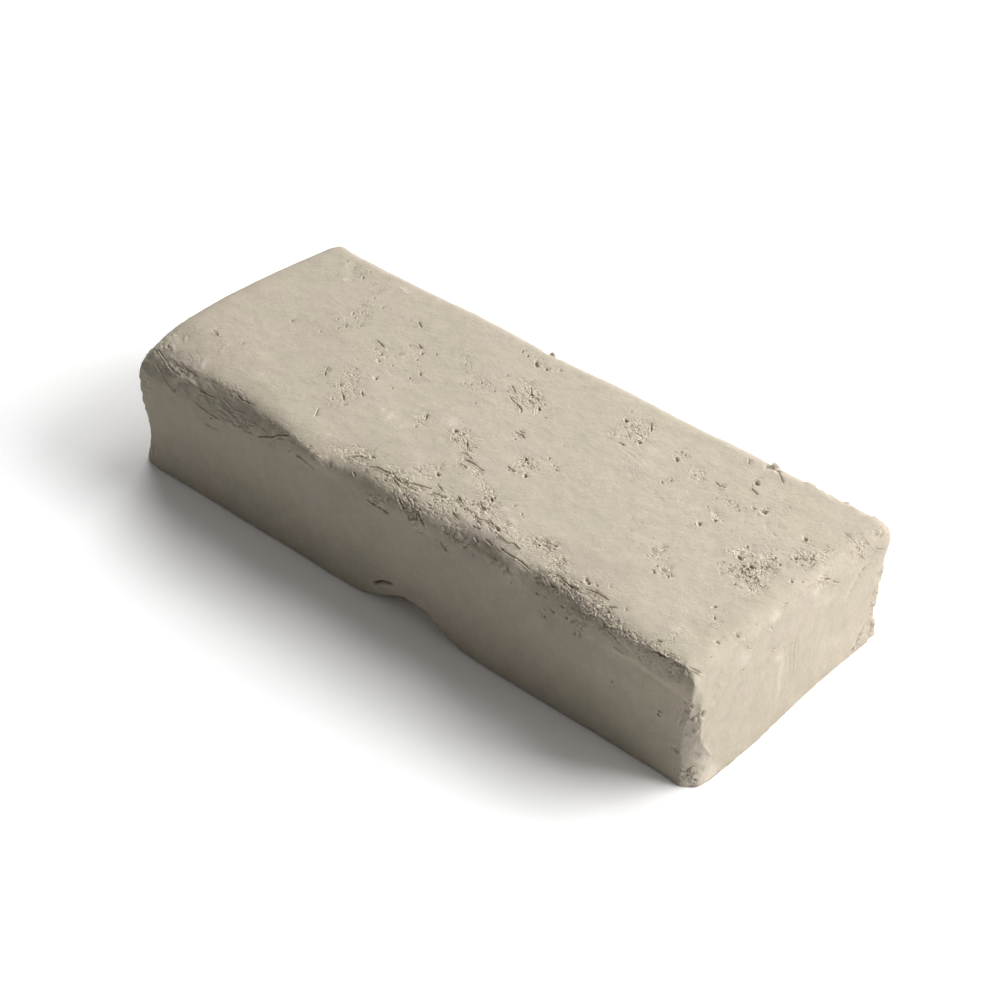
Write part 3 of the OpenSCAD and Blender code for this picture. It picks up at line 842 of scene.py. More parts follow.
def mark_left_of_top(skin):
    """Small pits in clusters, and a few rubbed pale ridges by the left end."""
    sheet = skin.over_front
    pinholes(skin, sheet, (
        (-50.8, 18.6), (-45.6, 19), (-39.1, 13.6), (-35.9, 12.4), (-37.4, 9), (-35.9, 6.5), (-37.9, 5.6),
        (-36.3, 4.2), (-44.1, -0.6), (-38.4, 0.3), (-26.1, -3.3), (-23.6, -5.1), (-24.5, -8.5),
        (-22.7, -11.9), (-22, -13.1), (-24.7, 7.2), (-29.7, 12.6), (-19.7, 8.6), (-17.9, -3.5),
        (-44.9, -10.8), (-37, 7), (-38.8, 4.9), (-36.9, 3), (-27.9, 2.9), (-22.4, 1.2), (-20.9, 5.2),
    ), grain=-50)
    pits(skin, sheet, (
        ((-45.2, 16.9), 0.9, 0.2), ((-38.1, 7.8), 0.6, 0.28), ((-26.1, 2.6), 0.5, 0.3),
        ((-25, 0.7), 0.5, 0.3), ((-21.8, -3), 0.5, 0.32), ((-21.6, 7.1), 0.55, 0.25),
        ((-17.4, 2.6), 0.5, 0.25), ((-17.9, 0.4), 0.4, 0.22), ((-54.7, -19.7), 0.8, 0.3),
    ), narrow=0.62, depth=0.45, grain=-50)
    tear(skin, sheet, (
        ((-29.9, 4.9), (-28.5, 4.6), (-27.2, 4)), ((-21, -7.1), (-19.6, -8.1)),
        ((-29.8, -6.3), (-29.2, -7.2), (-28.2, -8.3)), ((-23.3, -9.6), (-22.1, -10.1), (-20.9, -11.2)),
        ((-23.8, 8.6), (-22.5, 8.1)), ((-28.6, 13.6), (-26.8, 12.2)), ((-22.5, -15.3), (-21.3, -17)),
        ((-51.6, -11.2), (-49.5, -12)),
    ), FINE_CRACK)
    each(torn_patch, skin, sheet, (
        ((-37.3, 7.3), (2.4, 4.5), 35, -45, 0.4, 0.09, 0.4), ((-23, -8.5), (3, 4), 48, -50, 0.5, 0.13, 0.6),
        ((-25, 2), (6, 5.5), 57, -50, 0.35, 0.08, 0.4), ((-46.5, 17.5), (3, 2.4), 22, -20, 0.6, 0.07, 0.4),
    ))
    each(smear, skin, sheet, (
        (((-46.7, -12.5), (-45.6, -15.4)), 0.32, 0.12, 0.8),
        (((-46.4, -17.6), (-45.5, -20.7)), 0.35, 0.12, 0.8), (((-54, -15.6), (-53, -16.9)), 0.3, 0.12, 0.8),
        (((-54.4, -18.9), (-52.7, -20)), 0.3, 0.12, 0.8),
        (((-40.9, -10.6), (-40.2, -10.7)), 0.5, 0.05, 0.8), (((-36.6, -15), (-35.9, -15)), 0.5, 0.05, 0.8),
        (((-38.4, 18.9), (-36, 18.5)), 0.3, 0.06, 0.7), (((-47.5, 14.6), (-46.4, 14.4)), 0.4, 0.06, 0.7),
        (((-50.5, 19), (-50, 17.2), (-48.5, 16.8)), 0.35, 0.06, 0.5),
        (((-16.8, -19), (-16, -19.1)), 0.4, 0.05, 0.7),
    ))
    dent(skin, sheet, (-54, -16.5), (1.6, 1), 0.15, -50)


def mark_middle_of_top(skin):
    """Pits and short cracks in loose clusters, and a few rubbed patches."""
    sheet = skin.over_front
    pits(skin, sheet, (
        ((-5.8, 17.4), 1.2, 0.4), ((-2.4, -5.1), 0.8, 0.28), ((2.9, 8.2), 1.4, 0.2),
        ((-8.6, -5.6), 0.9, 0.3), ((10.6, -3.3), 0.7, 0.3), ((13.5, -6.4), 0.9, 0.3),
        ((3.4, -15), 0.9, 0.3), ((13.6, -14.2), 0.9, 0.3), ((-3.8, 17.2), 0.6, 0.25),
        ((-1.7, 18.6), 0.5, 0.3),
    ), narrow=0.62, depth=0.45, grain=-35)
    pinholes(skin, sheet, (
        (-8.3, 18.1), (-9.9, 18.5), (-14.4, 10.2), (-14, 9.2), (-0.8, 8.6), (-6.9, 11.7), (-5.4, 7.2),
        (-8.6, 7.4), (-9.4, 6), (-10.4, 5.6), (-5.4, 2.6), (-8.5, -7.3), (-7.9, -8.5), (-0.8, -3.7),
        (-1.1, -6.7), (12.2, -3.9), (10.6, -7), (13.1, -0.6), (15.5, -1.4), (15.9, -2.2), (14.9, -1.7),
        (12.2, 3.4), (2.6, -13.7), (0.7, -16.4), (13.9, -13.7), (11.3, -12.9), (5.8, -0.3),
    ), grain=-45)
    tear(skin, sheet, (
        ((-1.9, 11.7), (-0.8, 10.6), (1, 10.2), (1.7, 9.4)), ((-4.7, 10.2), (-3.6, 9.8), (-2.6, 9)),
        ((-2.9, 7.7), (-1.1, 6.9), (0.6, 6.5), (1.7, 5.4)), ((4.4, 0.9), (5.6, 1.1), (6.7, 0.8)),
        ((4.6, 1.6), (5.6, 1.7)), ((0.6, -5.6), (1.6, -6.8), (2.4, -7.4), (3.1, -7.4)),
        ((1.7, -8.6), (3.2, -8.5), (4.6, -8.9)), ((3.5, -9.6), (5.5, -9.4), (8.1, -9.7)),
        ((9.6, -6.4), (11.7, -6.7)), ((-9.2, -4.8), (-8.2, -5.8)), ((3.8, -10.5), (5.6, -11)),
    ), FINE_CRACK)
    each(torn_patch, skin, sheet, (
        ((-1.5, 9), (4.5, 3), 57, -35, 0.5, 0.12, 0.6), ((-0.5, -5.5), (2.2, 2.2), 40, -50, 0.5, 0.14, 0.7),
        ((12, -4.8), (2.2, 2.4), 44, -35, 0.5, 0.13, 0.6), ((-8.5, 6.5), (3, 2), 22, -30, 0.4, 0.09, 0.5),
        ((5.5, 0.8), (2, 1.2), 18, -10, 0.4, 0.09, 0.5),
    ))
    crinkle(skin, sheet, (0, 9.5), (5, 3), 0.05, 0.5, -35, 1.6, 0.3)
    each(smear, skin, sheet, (
        (((-5.9, -3.8), (-3.4, -4)), 0.9, 0.06, 0.9), (((-13.3, -8.3), (-12.2, -10.3)), 0.4, 0.06, 0.9),
        (((-15, -8), (-14.6, -9.4)), 0.3, 0.05, 0.8), (((-10, -9.7), (-8.8, -10.2)), 0.8, 0.04, 0.6),
        (((8.4, -10.6), (8.6, -12.2)), 0.5, 0.05, 0.7),
    ))


def mark_right_of_top(skin):
    """The busiest part: pits and cracks, with long dry scrapes beside them."""
    sheet = skin.over_front
    pits(skin, sheet, (
        ((20.4, 12.2), 0.9, 0.28), ((15.3, 15.1), 0.7, 0.28), ((45.6, 10.9), 0.8, 0.45),
        ((44, 10.8), 0.7, 0.22), ((54, 10), 0.8, 0.28), ((40.4, 16), 0.9, 0.35), ((61.3, 4.5), 0.9, 0.45),
        ((19.3, -18.9), 1.3, 0.3), ((36.8, -19.2), 1.3, 0.32), ((43.6, -9.9), 0.7, 0.3),
        ((49.7, -0.1), 1.1, 0.25), ((52.3, -0.6), 1.1, 0.28), ((55.8, 5.3), 0.8, 0.28),
        ((41.5, 4.5), 0.6, 0.25), ((40.4, 2.2), 0.8, 0.25), ((27.7, 12.5), 1.1, 0.22),
    ), narrow=0.65, depth=0.5, grain=-25)
    pinholes(skin, sheet, (
        (14.2, 17.6), (15.3, 13.6), (17.4, 13.8), (25.9, 14.6), (26.8, 14.6), (27.7, 14.5), (30.4, 7.6),
        (38.6, 6.1), (52.6, 3.7), (49, 2.6), (47.4, 0.1), (55.1, 2.7), (53.1, 2.5), (58.6, 0.7),
        (42.2, -9.6), (45, -10.6), (54.2, -11.3), (45.3, -20.3), (38.4, -19), (40.3, -18), (17.4, -13),
        (19.5, -13.9), (20.2, -14.4), (59.3, -17.2), (60.1, -14.2), (53.6, 3.3), (50.9, 1.4),
    ), grain=-35, long=0.4)
    tear(skin, sheet, (
        ((18.3, 17.4), (19.9, 15.4)), ((18, 9.9), (19.7, 9.9)), ((17.6, 12.6), (18.6, 12)),
        ((35.4, 11.7), (37.6, 11.9)), ((29.4, 6.5), (30, 6.1)), ((35.4, 20.2), (36.5, 19)),
        ((40.4, 14.5), (42.2, 13.8)), ((53.3, 1.7), (54.4, 1.1), (55.1, 1.9)),
        ((42.2, -10.8), (43.1, -11.4)), ((55.4, -13), (56, -13.5)), ((42.5, -21.6), (44, -21)),
        ((52.3, -22.5), (53.1, -22.5)),
    ), FINE_CRACK)
    each(crevice, skin, sheet, (
        (((18.6, 9.2), (21.5, 8.6), (24.5, 8)), 0.12, 0.04, 0.02, 0.15),
        (((12, 8.2), (17, 9.6), (22, 9.5), (27, 8)), 0.15, 0.03, 0.02, 0.1),
        (((39.6, 21.6), (40.2, 20.9), (41.3, 20.3)), 0.2, 0.5, 0.1, 1.2),
        (((41.0, 20.4), (42, 19.6), (43.2, 18.6)), 0.1, 0.3, 0.06, 0.5),
    ))


def tear_right_of_top(skin):
    """Torn patches across the right part of the top, the worst by the right end."""
    sheet = skin.over_front
    each(torn_patch, skin, sheet, (
        ((17.5, 13.5), (3.4, 4), 66, -40, 0.55, 0.12, 0.6),
        ((32.5, 11.5), (2, 1.8), 26, -30, 0.4, 0.1, 0.5), ((41, 9), (2, 1.2), 31, -20, 0.4, 0.13, 0.6),
        ((53, -2.6), (3.4, 2.6), 121, -30, 0.6, 0.18, 0.8),
        ((57.2, 6.5), (2.2, 2), 57, -30, 0.5, 0.15, 0.7), ((48.5, 5), (5.5, 4.5), 53, -35, 0.4, 0.08, 0.4),
        ((40, -6.8), (2, 2), 53, -30, 0.45, 0.12, 0.5),
        ((43.6, -10.4), (1.6, 1.2), 22, -40, 0.45, 0.12, 0.6), ((34, 3), (8, 7), 57, -35, 0.35, 0.05, 0.25),
        ((48, 15), (7, 4), 40, -35, 0.4, 0.05, 0.3),
    ))
    each(crinkle, skin, sheet, (
        ((53, -2.6), (4.4, 2.8), 0.06, 0.5, -30, 1.7, 0.3),
        ((57.2, 6.5), (2.8, 2.3), 0.05, 0.45, -30, 1.7, 0.25),
        ((39.8, -6.8), (2.6, 2), 0.06, 0.4, -30, 1.5, 0.3),
    ))
    each(smear, skin, sheet, (
        (((53.4, -17.5), (53.6, -19.6), (53.7, -21.5)), 0.16, 0.03, 0.5),
        (((22, 12), (25, 11)), 0.8, 0.03, 0.5),
    ))


def mark_right_end(skin):
    """Cracks under the torn far corner, and scattered pits."""
    sheet = skin.over_end
    tear(skin, sheet, (
        ((1.1, 53.4), (0.7, 54.7), (1.7, 55.3), (1.5, 56.2)), ((4.5, 55.3), (5, 55.9), (5.6, 58.3)),
        ((15, 57.8), (14.8, 61.6), (14, 62.8)), ((14.2, 62.5), (15.7, 64.7)),
        ((16.5, 59.7), (16.7, 62.5), (17.3, 63.7)), ((17.8, 63.4), (18.9, 64.4), (20, 65)),
        ((12.2, 62.6), (13.6, 60.4)), ((-12.4, 63.9), (-11.3, 65)), ((-6.1, 68.1), (-5, 68.9)),
        ((7.6, 63.7), (9.8, 65.6)),
    ), HAIR_CRACK)
    crevice(skin, sheet, ((14.6, 82), (15.8, 81), (17, 79.6), (18.2, 78.4)), 0.3, 0.3, 0.1, 0.9)
    pits(skin, sheet, (
        ((5.6, 61.9), 0.9, 0.4), ((5.3, 63), 0.7, 0.3), ((7, 63.1), 0.7, 0.3), ((-6.6, 64.1), 0.9, 0.3),
        ((2, 60), 0.5, 0.22), ((0.7, 58.8), 0.5, 0.22), ((10, 54.1), 0.6, 0.25), ((-11.1, 54.4), 0.6, 0.25),
        ((-13.3, 56.1), 0.5, 0.22), ((-16.9, 59.5), 0.5, 0.22), ((-13.3, 61.2), 0.6, 0.25),
        ((-9.6, 61.4), 0.5, 0.22), ((-19.4, 61.1), 0.5, 0.22), ((-2.7, 61.6), 0.5, 0.22),
        ((-3.3, 69.7), 0.5, 0.25), ((-12.7, 68), 0.5, 0.22),
    ), narrow=0.5, depth=0.22, grain=40, lip=0.06, dark=0.6)
    each(torn_patch, skin, sheet, (
        ((-2.7, 53), (2, 2.2), 31, -40, 0.4, 0.1, 0.5), ((6.5, 57), (2.4, 2), 40, -40, 0.45, 0.11, 0.5),
        ((6, 62.5), (1.8, 1.4), 26, -20, 0.4, 0.12, 0.5),
        ((19.6, 61.2), (1.3, 1.2), 22, 40, 0.45, 0.14, 0.6),
        ((15.5, 62), (2, 2.6), 26, 70, 0.45, 0.12, 0.5),
    ))
    each(crinkle, skin, sheet, (
        ((19.6, 61.2), (1.8, 1.5), 0.09, 0.4, 0, 1.3, 0.4), ((15.4, 61), (2.1, 3), 0.07, 0.6, 70, 1.6, 0.3),
    ))


def finger_marks_on_end(skin):
    """A short upright ridge left by a finger, with fine lines beside it, and soft smears."""
    sheet = skin.over_end
    for across, depth in ((-0.4, 0.06), (-1.2, 0.03), (0.4, 0.05)):
        crevice(skin, sheet, ((across, 69.6), (across - 0.1, 73), (across, 76)), 0.16, depth, 0.03, 0.15)
    crevice(skin, sheet, ((12.3, 69.2), (14.2, 67.5), (16.1, 66.2)), 0.45, 0.3, 0.1, 0.4)
    dent(skin, sheet, (-1.6, 73.5), (1.4, 5), 0.14)
    each(smear, skin, sheet, (
        (((-3.6, 70.3), (-3.9, 75), (-4.1, 79.7)), 0.45, 0.16, 0.5),
        (((-14.5, 65), (-11, 66.5)), 1.4, 0.12, 0.6), (((-5.3, 70.6), (-3.8, 71.2)), 0.8, 0.12, 0.7),
        (((-7.2, 62.5), (-4.5, 62)), 0.9, 0.14, 0.6), (((4.4, 66.5), (8.5, 67.5)), 0.9, 0.08, 0.5),
        (((2.2, 63.2), (4.4, 63.9)), 1.0, 0.1, 0.5),
    ))


def mark_near_corner(skin):
    """Pits, folds and rubbed ridges on the worn upright corner."""
    sheet = skin.round_corner
    each(pit, skin, sheet, (
        ((60.2, 16.3), 0.5, 0.2, 0.3, 20, 0.12), ((62.6, 14.4), 0.7, 0.3, 0.4, 70, 0.1),
        ((58.4, 12), 1.4, 0.2, 0.15, 80, 0.05, 0.6), ((57.6, 6.2), 1.0, 0.25, 0.15, 20, 0.05, 0.6),
        ((62, 1.3), 0.6, 0.2, 0.3, 0, 0.08), ((60.4, 3), 0.5, 0.14, 0.25, 0, 0.08),
    ))
    each(crinkle, skin, sheet, (
        ((59.2, 16), (2.6, 1.3), 0.07, 0.4, 80, 1.2, 0.4), ((60.5, 1.9), (2.4, 1.3), 0.1, 0.5, 0, 1.2, 0.5),
    ))
    each(torn_patch, skin, sheet, (
        ((60.5, 2.2), (1.8, 1.2), 26, 0, 0.35, 0.14, 0.7), ((58.8, 13), (0.9, 4), 30, 70, 0.4, 0.1, 0.5),
    ))
    each(smear, skin, sheet, (
        (((58.6, 0.5), (61, 0.6), (64, 0.7)), 0.4, 0.2, 0.5),
        (((62.5, 8.5), (62.2, 13.4)), 0.25, 0.12, 0.6), (((65.2, 4.6), (63.2, 8)), 0.25, 0.1, 0.5),
    ))


def mark_front_wall(skin):
    """Faint marks, and the overlapped fold at the foot with its dark slit."""
    sheet = skin.over_front
    foot = FRONT - TOP
    slit = ((-3.9, 3.5), (-2.9, 4.4), (-1.9, 5.1), (-0.8, 5.6), (0.3, 5.9))
    crevice(skin, sheet, [(x, foot + z) for x, z in slit], 0.2, 0.9, 0.12, 1.3, broken=0.25)
    lip = ((-4.7, 1.4), (-2.6, 2.1), (-0.1, 3.5), (1.7, 4.2), (3.1, 4.6), (6, 3.9), (8.1, 2.4))
    smear(skin, sheet, [(x, foot + z) for x, z in lip], 0.35, 0.12, 0.3)
    for x, z in ((7.4, 11), (7, 12.6), (27, 8.5), (6.6, 6.4), (8.6, 6), (-20, 12), (-33, 7.4), (21, 13.7)):
        pit(skin, sheet, (x, foot + z), 0.6, 0.2, 0.1, 10, 0.03, 0.4)
    tear(skin, sheet, (
        ((-41.7, -30.7), (-38, -30.6)), ((21.7, -32.6), (23.5, -31.2)), ((45.2, -27.7), (48, -28.5)),
        ((58.3, -31), (59, -32.4)),
    ), FAINT_LINE)
    for x in (-52.3, -51.4, -50.6):
        crevice(skin, sheet, ((x, -28.2), (x - 0.3, -30.7)), 0.2, 0.06, 0.03, 0.2)


def mark_unseen_side(skin, sheet, low, high):
    """The same kinds of marks as on the seen sides, scattered more thinly between two corners."""
    low, high = np.array(low, float), np.array(high, float)
    area = np.prod(high - low)
    rng = skin.rng
    for _ in range(int(area / 170) + 2):
        centre = rng.uniform(low, high)
        radii = rng.uniform(1.2, 3.4, 2)
        torn_patch(skin, sheet, centre, radii, int(rng.uniform(12, 40)), -35, 0.5, 0.1, 0.5)
    for _ in range(int(area / 60) + 6):
        centre = rng.uniform(low, high)
        long = rng.uniform(0.3, 0.9)
        wide = rng.uniform(0.08, 0.16)
        pit(skin, sheet, centre, long, wide, 0.22, rng.uniform(-70, 20))
    for _ in range(int(area / 300) + 2):
        centre = rng.uniform(low, high)
        radii = rng.uniform(1.5, 4, 2)
        crinkle(skin, sheet, centre, radii, 0.05, 0.55, rng.uniform(-60, 30))
    for _ in range(int(area / 260) + 2):
        start = rng.uniform(low, high)
        step = np.array((rng.uniform(1.5, 4), rng.uniform(-2, 1)))
        smear(skin, sheet, (start, start + step), rng.uniform(0.3, 0.9), 0.06, 0.6)


def mark_unseen_sides(skin):
    """The back, the left end and the base."""
    mark_unseen_side(skin, skin.over_back, (-56, -20), (56, 1))
    mark_unseen_side(skin, skin.over_left, (-20, -55), (20, -36))
    mark_unseen_side(skin, skin.under, (-56, -19), (56, 19))
    for _ in range(9):
        start = skin.rng.uniform((-50, -18), (40, 18))
        step = (skin.rng.uniform(4, 12), skin.rng.uniform(-3, 3))
        crevice(skin, skin.under, (start, start + step), 0.4, 0.08, 0.04, 0.1)


def grain_all_over(skin):
    """Slow hand-made waves, a fine tooth, and faint drag lines running along the top."""
    place = skin.place
    waves = 0.07 * lumps(place, 9, 20) + 0.035 * lumps(place, 4, 21)
    along = place * (0.45, 1, 1)
    tooth = 0.012 * lumps(along, 0.9, 22) + 0.007 * lumps(place, 0.42, 23)
    rough_here = 0.6 + 0.8 * ease(0.5 + lumps(place, 6, 24))
    skin.lift += waves + tooth * rough_here


# ---------- pieces ----------

BLOCK_VOXEL, FLAKE_VOXEL, CRUMB_VOXEL = 0.3, 0.12, 0.09
MOST_TRIANGLES = 196000


def copy_of_node(name, new_name):
    """A welded copy of a CAD node, on its own."""
    bpy.ops.object.select_all(action="DESELECT")
    piece = bpy.data.objects.new(new_name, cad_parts[name].data.copy())
    bpy.context.scene.collection.objects.link(piece)
    piece.data.name = new_name
    bpy.context.view_layer.objects.active = piece
    piece.select_set(True)
    bpy.ops.object.mode_set(mode="EDIT")
    bpy.ops.mesh.select_all(action="SELECT")
    bpy.ops.mesh.remove_doubles(threshold=1e-6)
    bpy.ops.object.mode_set(mode="OBJECT")
    return piece


def finish_with(piece, kind, **settings):
    """Add a modifier and apply it."""
    bpy.context.view_layer.objects.active = piece
    modifier = piece.modifiers.new(kind.lower(), kind)
    for name, value in settings.items():
        setattr(modifier, name, value)
    bpy.ops.object.modifier_apply(modifier=modifier.name)


def soft_copy(node, new_name, voxel, passes):
    """A copy of a CAD node as one fine even mesh, its sharp edges smoothed."""
    piece = copy_of_node(node, new_name)
    finish_with(piece, "REMESH", mode="VOXEL", voxel_size=voxel * MM)
    finish_with(piece, "SMOOTH", factor=0.5, iterations=passes)
    return piece


def keep(piece, name, values):
    """Store one number for each point, for the material to read."""
    layer = piece.data.attributes.new(name, "FLOAT", "POINT")
    layer.data.foreach_set("value", np.clip(values, 0, 1).astype(np.float32))


def finish_piece(piece, node, material):
    """Smooth and give the piece its clay; it rides on the root, and its CAD node is hidden."""
    bpy.ops.object.shade_smooth()
    piece.data.materials.clear()
    piece.data.materials.append(material)
    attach(piece, "root")
    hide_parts(node)


def work_the_clay(skin):
    """Everything done to the block by hand, in order."""
    heal_behind_the_flake(skin)
    skin.settle()
    skin.lay_out()
    crease_front_edge(skin)
    trim_near_corner(skin)
    roughen_far_edges(skin)
    skin.settle()
    break_the_edge(skin)
    break_the_top(skin)
    break_the_end(skin)
    crack_front_edge(skin)
    fold_front_edge(skin)
    wrinkle_front_edge(skin)
    pit_front_edge(skin)
    mark_left_of_top(skin)
    mark_middle_of_top(skin)
    mark_right_of_top(skin)
    tear_right_of_top(skin)
    mark_right_end(skin)
    finger_marks_on_end(skin)
    mark_near_corner(skin)
    mark_front_wall(skin)
    mark_unseen_sides(skin)
    grain_all_over(skin)


def points_to_be_worked(piece):
    """Work the clay once as a trial, only to learn which points will carry fine marks."""
    trial = Skin(piece.data)
    before = trial.place.copy()
    work_the_clay(trial)
    trial.place = before
    trial.settle()
    return trial.busy


def cut_finer(piece, busy):
    """Divide the faces that will carry fine marks into sixteen."""
    mesh = piece.data
    corners = np.empty(len(mesh.loops), int)
    mesh.loops.foreach_get("vertex_index", corners)
    starts = np.empty(len(mesh.polygons), int)
    mesh.polygons.foreach_get("loop_start", starts)
    wanted = np.logical_or.reduceat(busy[corners], starts)
    bpy.context.tool_settings.mesh_select_mode = (False, False, True)
    mesh.vertices.foreach_set("select", np.zeros(len(mesh.vertices), bool))
    mesh.edges.foreach_set("select", np.zeros(len(mesh.edges), bool))
    mesh.polygons.foreach_set("select", wanted)
    bpy.ops.object.mode_set(mode="EDIT")
    bpy.ops.mesh.subdivide(number_cuts=3)
    bpy.ops.object.mode_set(mode="OBJECT")


def add_block(material):
    """The bar, worked at a fine mesh and then thinned."""
    piece = soft_copy("clay_bar", "clay_block", BLOCK_VOXEL, 6)
    cut_finer(piece, points_to_be_worked(piece))
    skin = Skin(piece.data)
    work_the_clay(skin)
    skin.press()
    keep(piece, "hollow", skin.hollow)
    keep(piece, "pale", skin.pale)
    keep(piece, "crumbled", skin.crumbled)
    triangles = len(piece.data.loops) - 2 * len(piece.data.polygons)
    finish_with(piece, "DECIMATE", ratio=MOST_TRIANGLES / triangles, use_collapse_triangulate=True)
    finish_piece(piece, "clay_bar", material)


def finish_torn_piece(piece, node, place, material, crumbled):
    """Store the torn piece's new shape, and how crumbled it is all over."""
    piece.data.vertices.foreach_set("co", (place * MM).astype(np.float32).ravel())
    piece.data.update()
    keep(piece, "crumbled", np.full(len(place), crumbled))
    finish_piece(piece, node, material)


def add_flake(material):
    """The torn scale: its left tip stands up in a ragged lip; the rest lies healed under the edge."""
    piece = soft_copy("edge_flake", "edge_flake_torn", FLAKE_VOXEL, 5)
    skin = Skin(piece.data)
    low = np.array(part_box("edge_flake")[0]) / MM
    x, y, z = skin.place.T
    ragged = 0.5 * lumps(skin.place, 1.1, 61) + 0.3 * lumps(skin.place, 0.5, 62)
    lip = ease((y + 0.4 * ragged - TORN_LINE) / 0.5) * ease((low[0] + 2.0 + ragged - x) / 0.9)
    raised = ease((z - low[2]) / 0.8)
    skin.place += skin.facing * (1, 1, 0) * (0.4 * ragged)[:, None]
    skin.place[:, 2] -= raised * 0.95 * (1 - lip)
    skin.place[:, 1] -= 0.4 * (1 - lip) * ease((y - 20) / 2)
    torn = 0.3 * lumps(skin.place, 0.9, 63) + 0.25 * lumps(skin.place, 0.4, 64) - 0.3
    skin.place[:, 2] += raised * lip * torn
    finish_torn_piece(piece, "edge_flake", skin.place, material, 0.75)


def add_crumbs(material):
    """Three torn crumbs, each a small irregular lump pressed against the block."""
    piece = soft_copy("edge_crumbs", "edge_crumbs_torn", CRUMB_VOXEL, 4)
    skin = Skin(piece.data)
    x, _, z = skin.place.T
    ragged = 0.55 * lumps(skin.place, 0.75, 71) + 0.3 * lumps(skin.place, 0.35, 72)
    place = skin.place + skin.facing * (ragged * 0.55)[:, None]
    by_corner = x > 50
    low_crumb = by_corner & (z < 8)
    place[by_corner] += (-0.2, 0.2, 0)
    place[low_crumb] += (-0.5, 0.5, 0)
    place[~by_corner] += (0, -0.25, -0.2)
    finish_torn_piece(piece, "edge_crumbs", place, material, 0.8)


# ---------- clay finishes ----------

VECTOR, COLOUR, NUMBER = "NodeSocketVector", "NodeSocketColor", "NodeSocketFloat"


def new_group(name, inputs, outputs):
    """An empty shader node group with named sockets."""
    group = bpy.data.node_groups.new(name, "ShaderNodeTree")
    for side, sockets in (("INPUT", inputs), ("OUTPUT", outputs)):
        for socket, kind in sockets.items():
            group.interface.new_socket(socket, in_out=side, socket_type=kind)
    source = group.nodes.new("NodeGroupInput")
    result = group.nodes.new("NodeGroupOutput")
    return group, source.outputs, result.inputs


def stretched(group, place, stretch, turn):
    """The same places, turned in degrees about the upright and stretched."""
    mapping = add_node(group.nodes, "ShaderNodeMapping", Rotation=(0, 0, math.radians(turn)), Scale=stretch)
    group.links.new(place, mapping.inputs["Vector"])
    return mapping.outputs[0]


def noise(group, place, scale, detail=3.0, rough=0.5):
    """A noise from 0 to 1 with lumps 1/scale metres apart."""
    texture = add_node(group.nodes, "ShaderNodeTexNoise", Scale=scale, Detail=detail, Roughness=rough)
    group.links.new(place, texture.inputs["Vector"])
    return texture.outputs["Fac"]


def spread(group, value, low, high, to_low=0.0, to_high=1.0):
    """Stretch low..high of a value to a new range, softly."""
    node = add_node(group.nodes, "ShaderNodeMapRange",
                    From_Min=low, From_Max=high, To_Min=to_low, To_Max=to_high)
    node.interpolation_type = "SMOOTHSTEP"
    group.links.new(value, node.inputs["Value"])
    return node.outputs["Result"]


def join_up(group, kind, *values):
    """Join values or sockets with one arithmetic step after another."""
    total = values[0]
    for value in values[1:]:
        node = group.nodes.new("ShaderNodeMath")
        node.operation = kind
        feed(group, node.inputs, (total, value))
        total = node.outputs[0]
    return total


def feed(group, sockets, values):
    """Set each socket to its value, or link it to the socket given instead."""
    for socket, value in zip(sockets, values):
        if isinstance(value, (float, tuple)):
            socket.default_value = value
        else:
            group.links.new(value, socket)


def add(group, *values):
    return join_up(group, "ADD", *values)


def times(group, *values):
    return join_up(group, "MULTIPLY", *values)


def blend_colour(group, share, first, second, kind="MIX"):
    """Two colours mixed or multiplied by a share."""
    node = group.nodes.new("ShaderNodeMix")
    node.data_type = "RGBA"
    node.blend_type = kind
    feed(group, (node.inputs["Factor"], node.inputs[6], node.inputs[7]), (share, first, second))
    return node.outputs[2]


def clay_colour_group():
    """Yellow-grey and pink-grey clay kneaded together, rubbed pale on smears, with painted shade in hollows
    and scale cracks and painted highlight on scale rims, crack lips and fold crests.
    """
    group, given, result = new_group(
        "clay_colour",
        {"Place": VECTOR, "Yellow Clay": COLOUR, "Pink Clay": COLOUR, "Painted Hollow Shade": COLOUR,
         "Pale Clay": COLOUR, "Hollow": NUMBER, "Pale": NUMBER, "Crack": NUMBER, "Rim": NUMBER},
        {"Color": COLOUR, "Roughness": NUMBER})
    place = given["Place"]
    kneaded = spread(group, noise(group, place, 95, 4, 0.55), 0.36, 0.64)
    colour = blend_colour(group, kneaded, given["Yellow Clay"], given["Pink Clay"])
    drag = noise(group, stretched(group, place, (70, 420, 200), 38), 1.0, 3, 0.6)
    patches = noise(group, place, 420, 4, 0.6)
    speck = noise(group, place, 2300, 3, 0.7)
    shade = add(group, spread(group, drag, 0.3, 0.7, -0.012, 0.012),
                spread(group, patches, 0.3, 0.7, -0.045, 0.045),
                spread(group, speck, 0.3, 0.7, -0.045, 0.045))
    # Painted highlight: the rims beside the scale cracks are painted lighter.
    shade = add(group, shade, 0.97, times(group, given["Rim"], 0.85))
    grey = group.nodes.new("ShaderNodeCombineColor")
    feed(group, grey.inputs[:3], (shade,) * 3)
    colour = blend_colour(group, 1.0, colour, grey.outputs[0], "MULTIPLY")
    # Pale clay where smears were rubbed, and painted highlight on crack lips, fold crests and the worn
    # corner face.
    rubbed = times(group, given["Pale"], spread(group, patches, 0.25, 0.6, 0.4, 1.0))
    colour = blend_colour(group, rubbed, colour, given["Pale Clay"])
    # Painted shade: hollows and scale cracks are painted dark.
    deep = spread(group, given["Hollow"], 0.2, 0.8, 0.0, 0.85)
    deep = join_up(group, "MAXIMUM", deep, times(group, given["Crack"], 0.9))
    colour = blend_colour(group, deep, colour, given["Painted Hollow Shade"])
    rough = add(group, spread(group, patches, 0.3, 0.7, 0.78, 0.92), times(group, rubbed, -0.12))
    feed(group, (result["Color"], result["Roughness"]), (colour, rough))
    return group


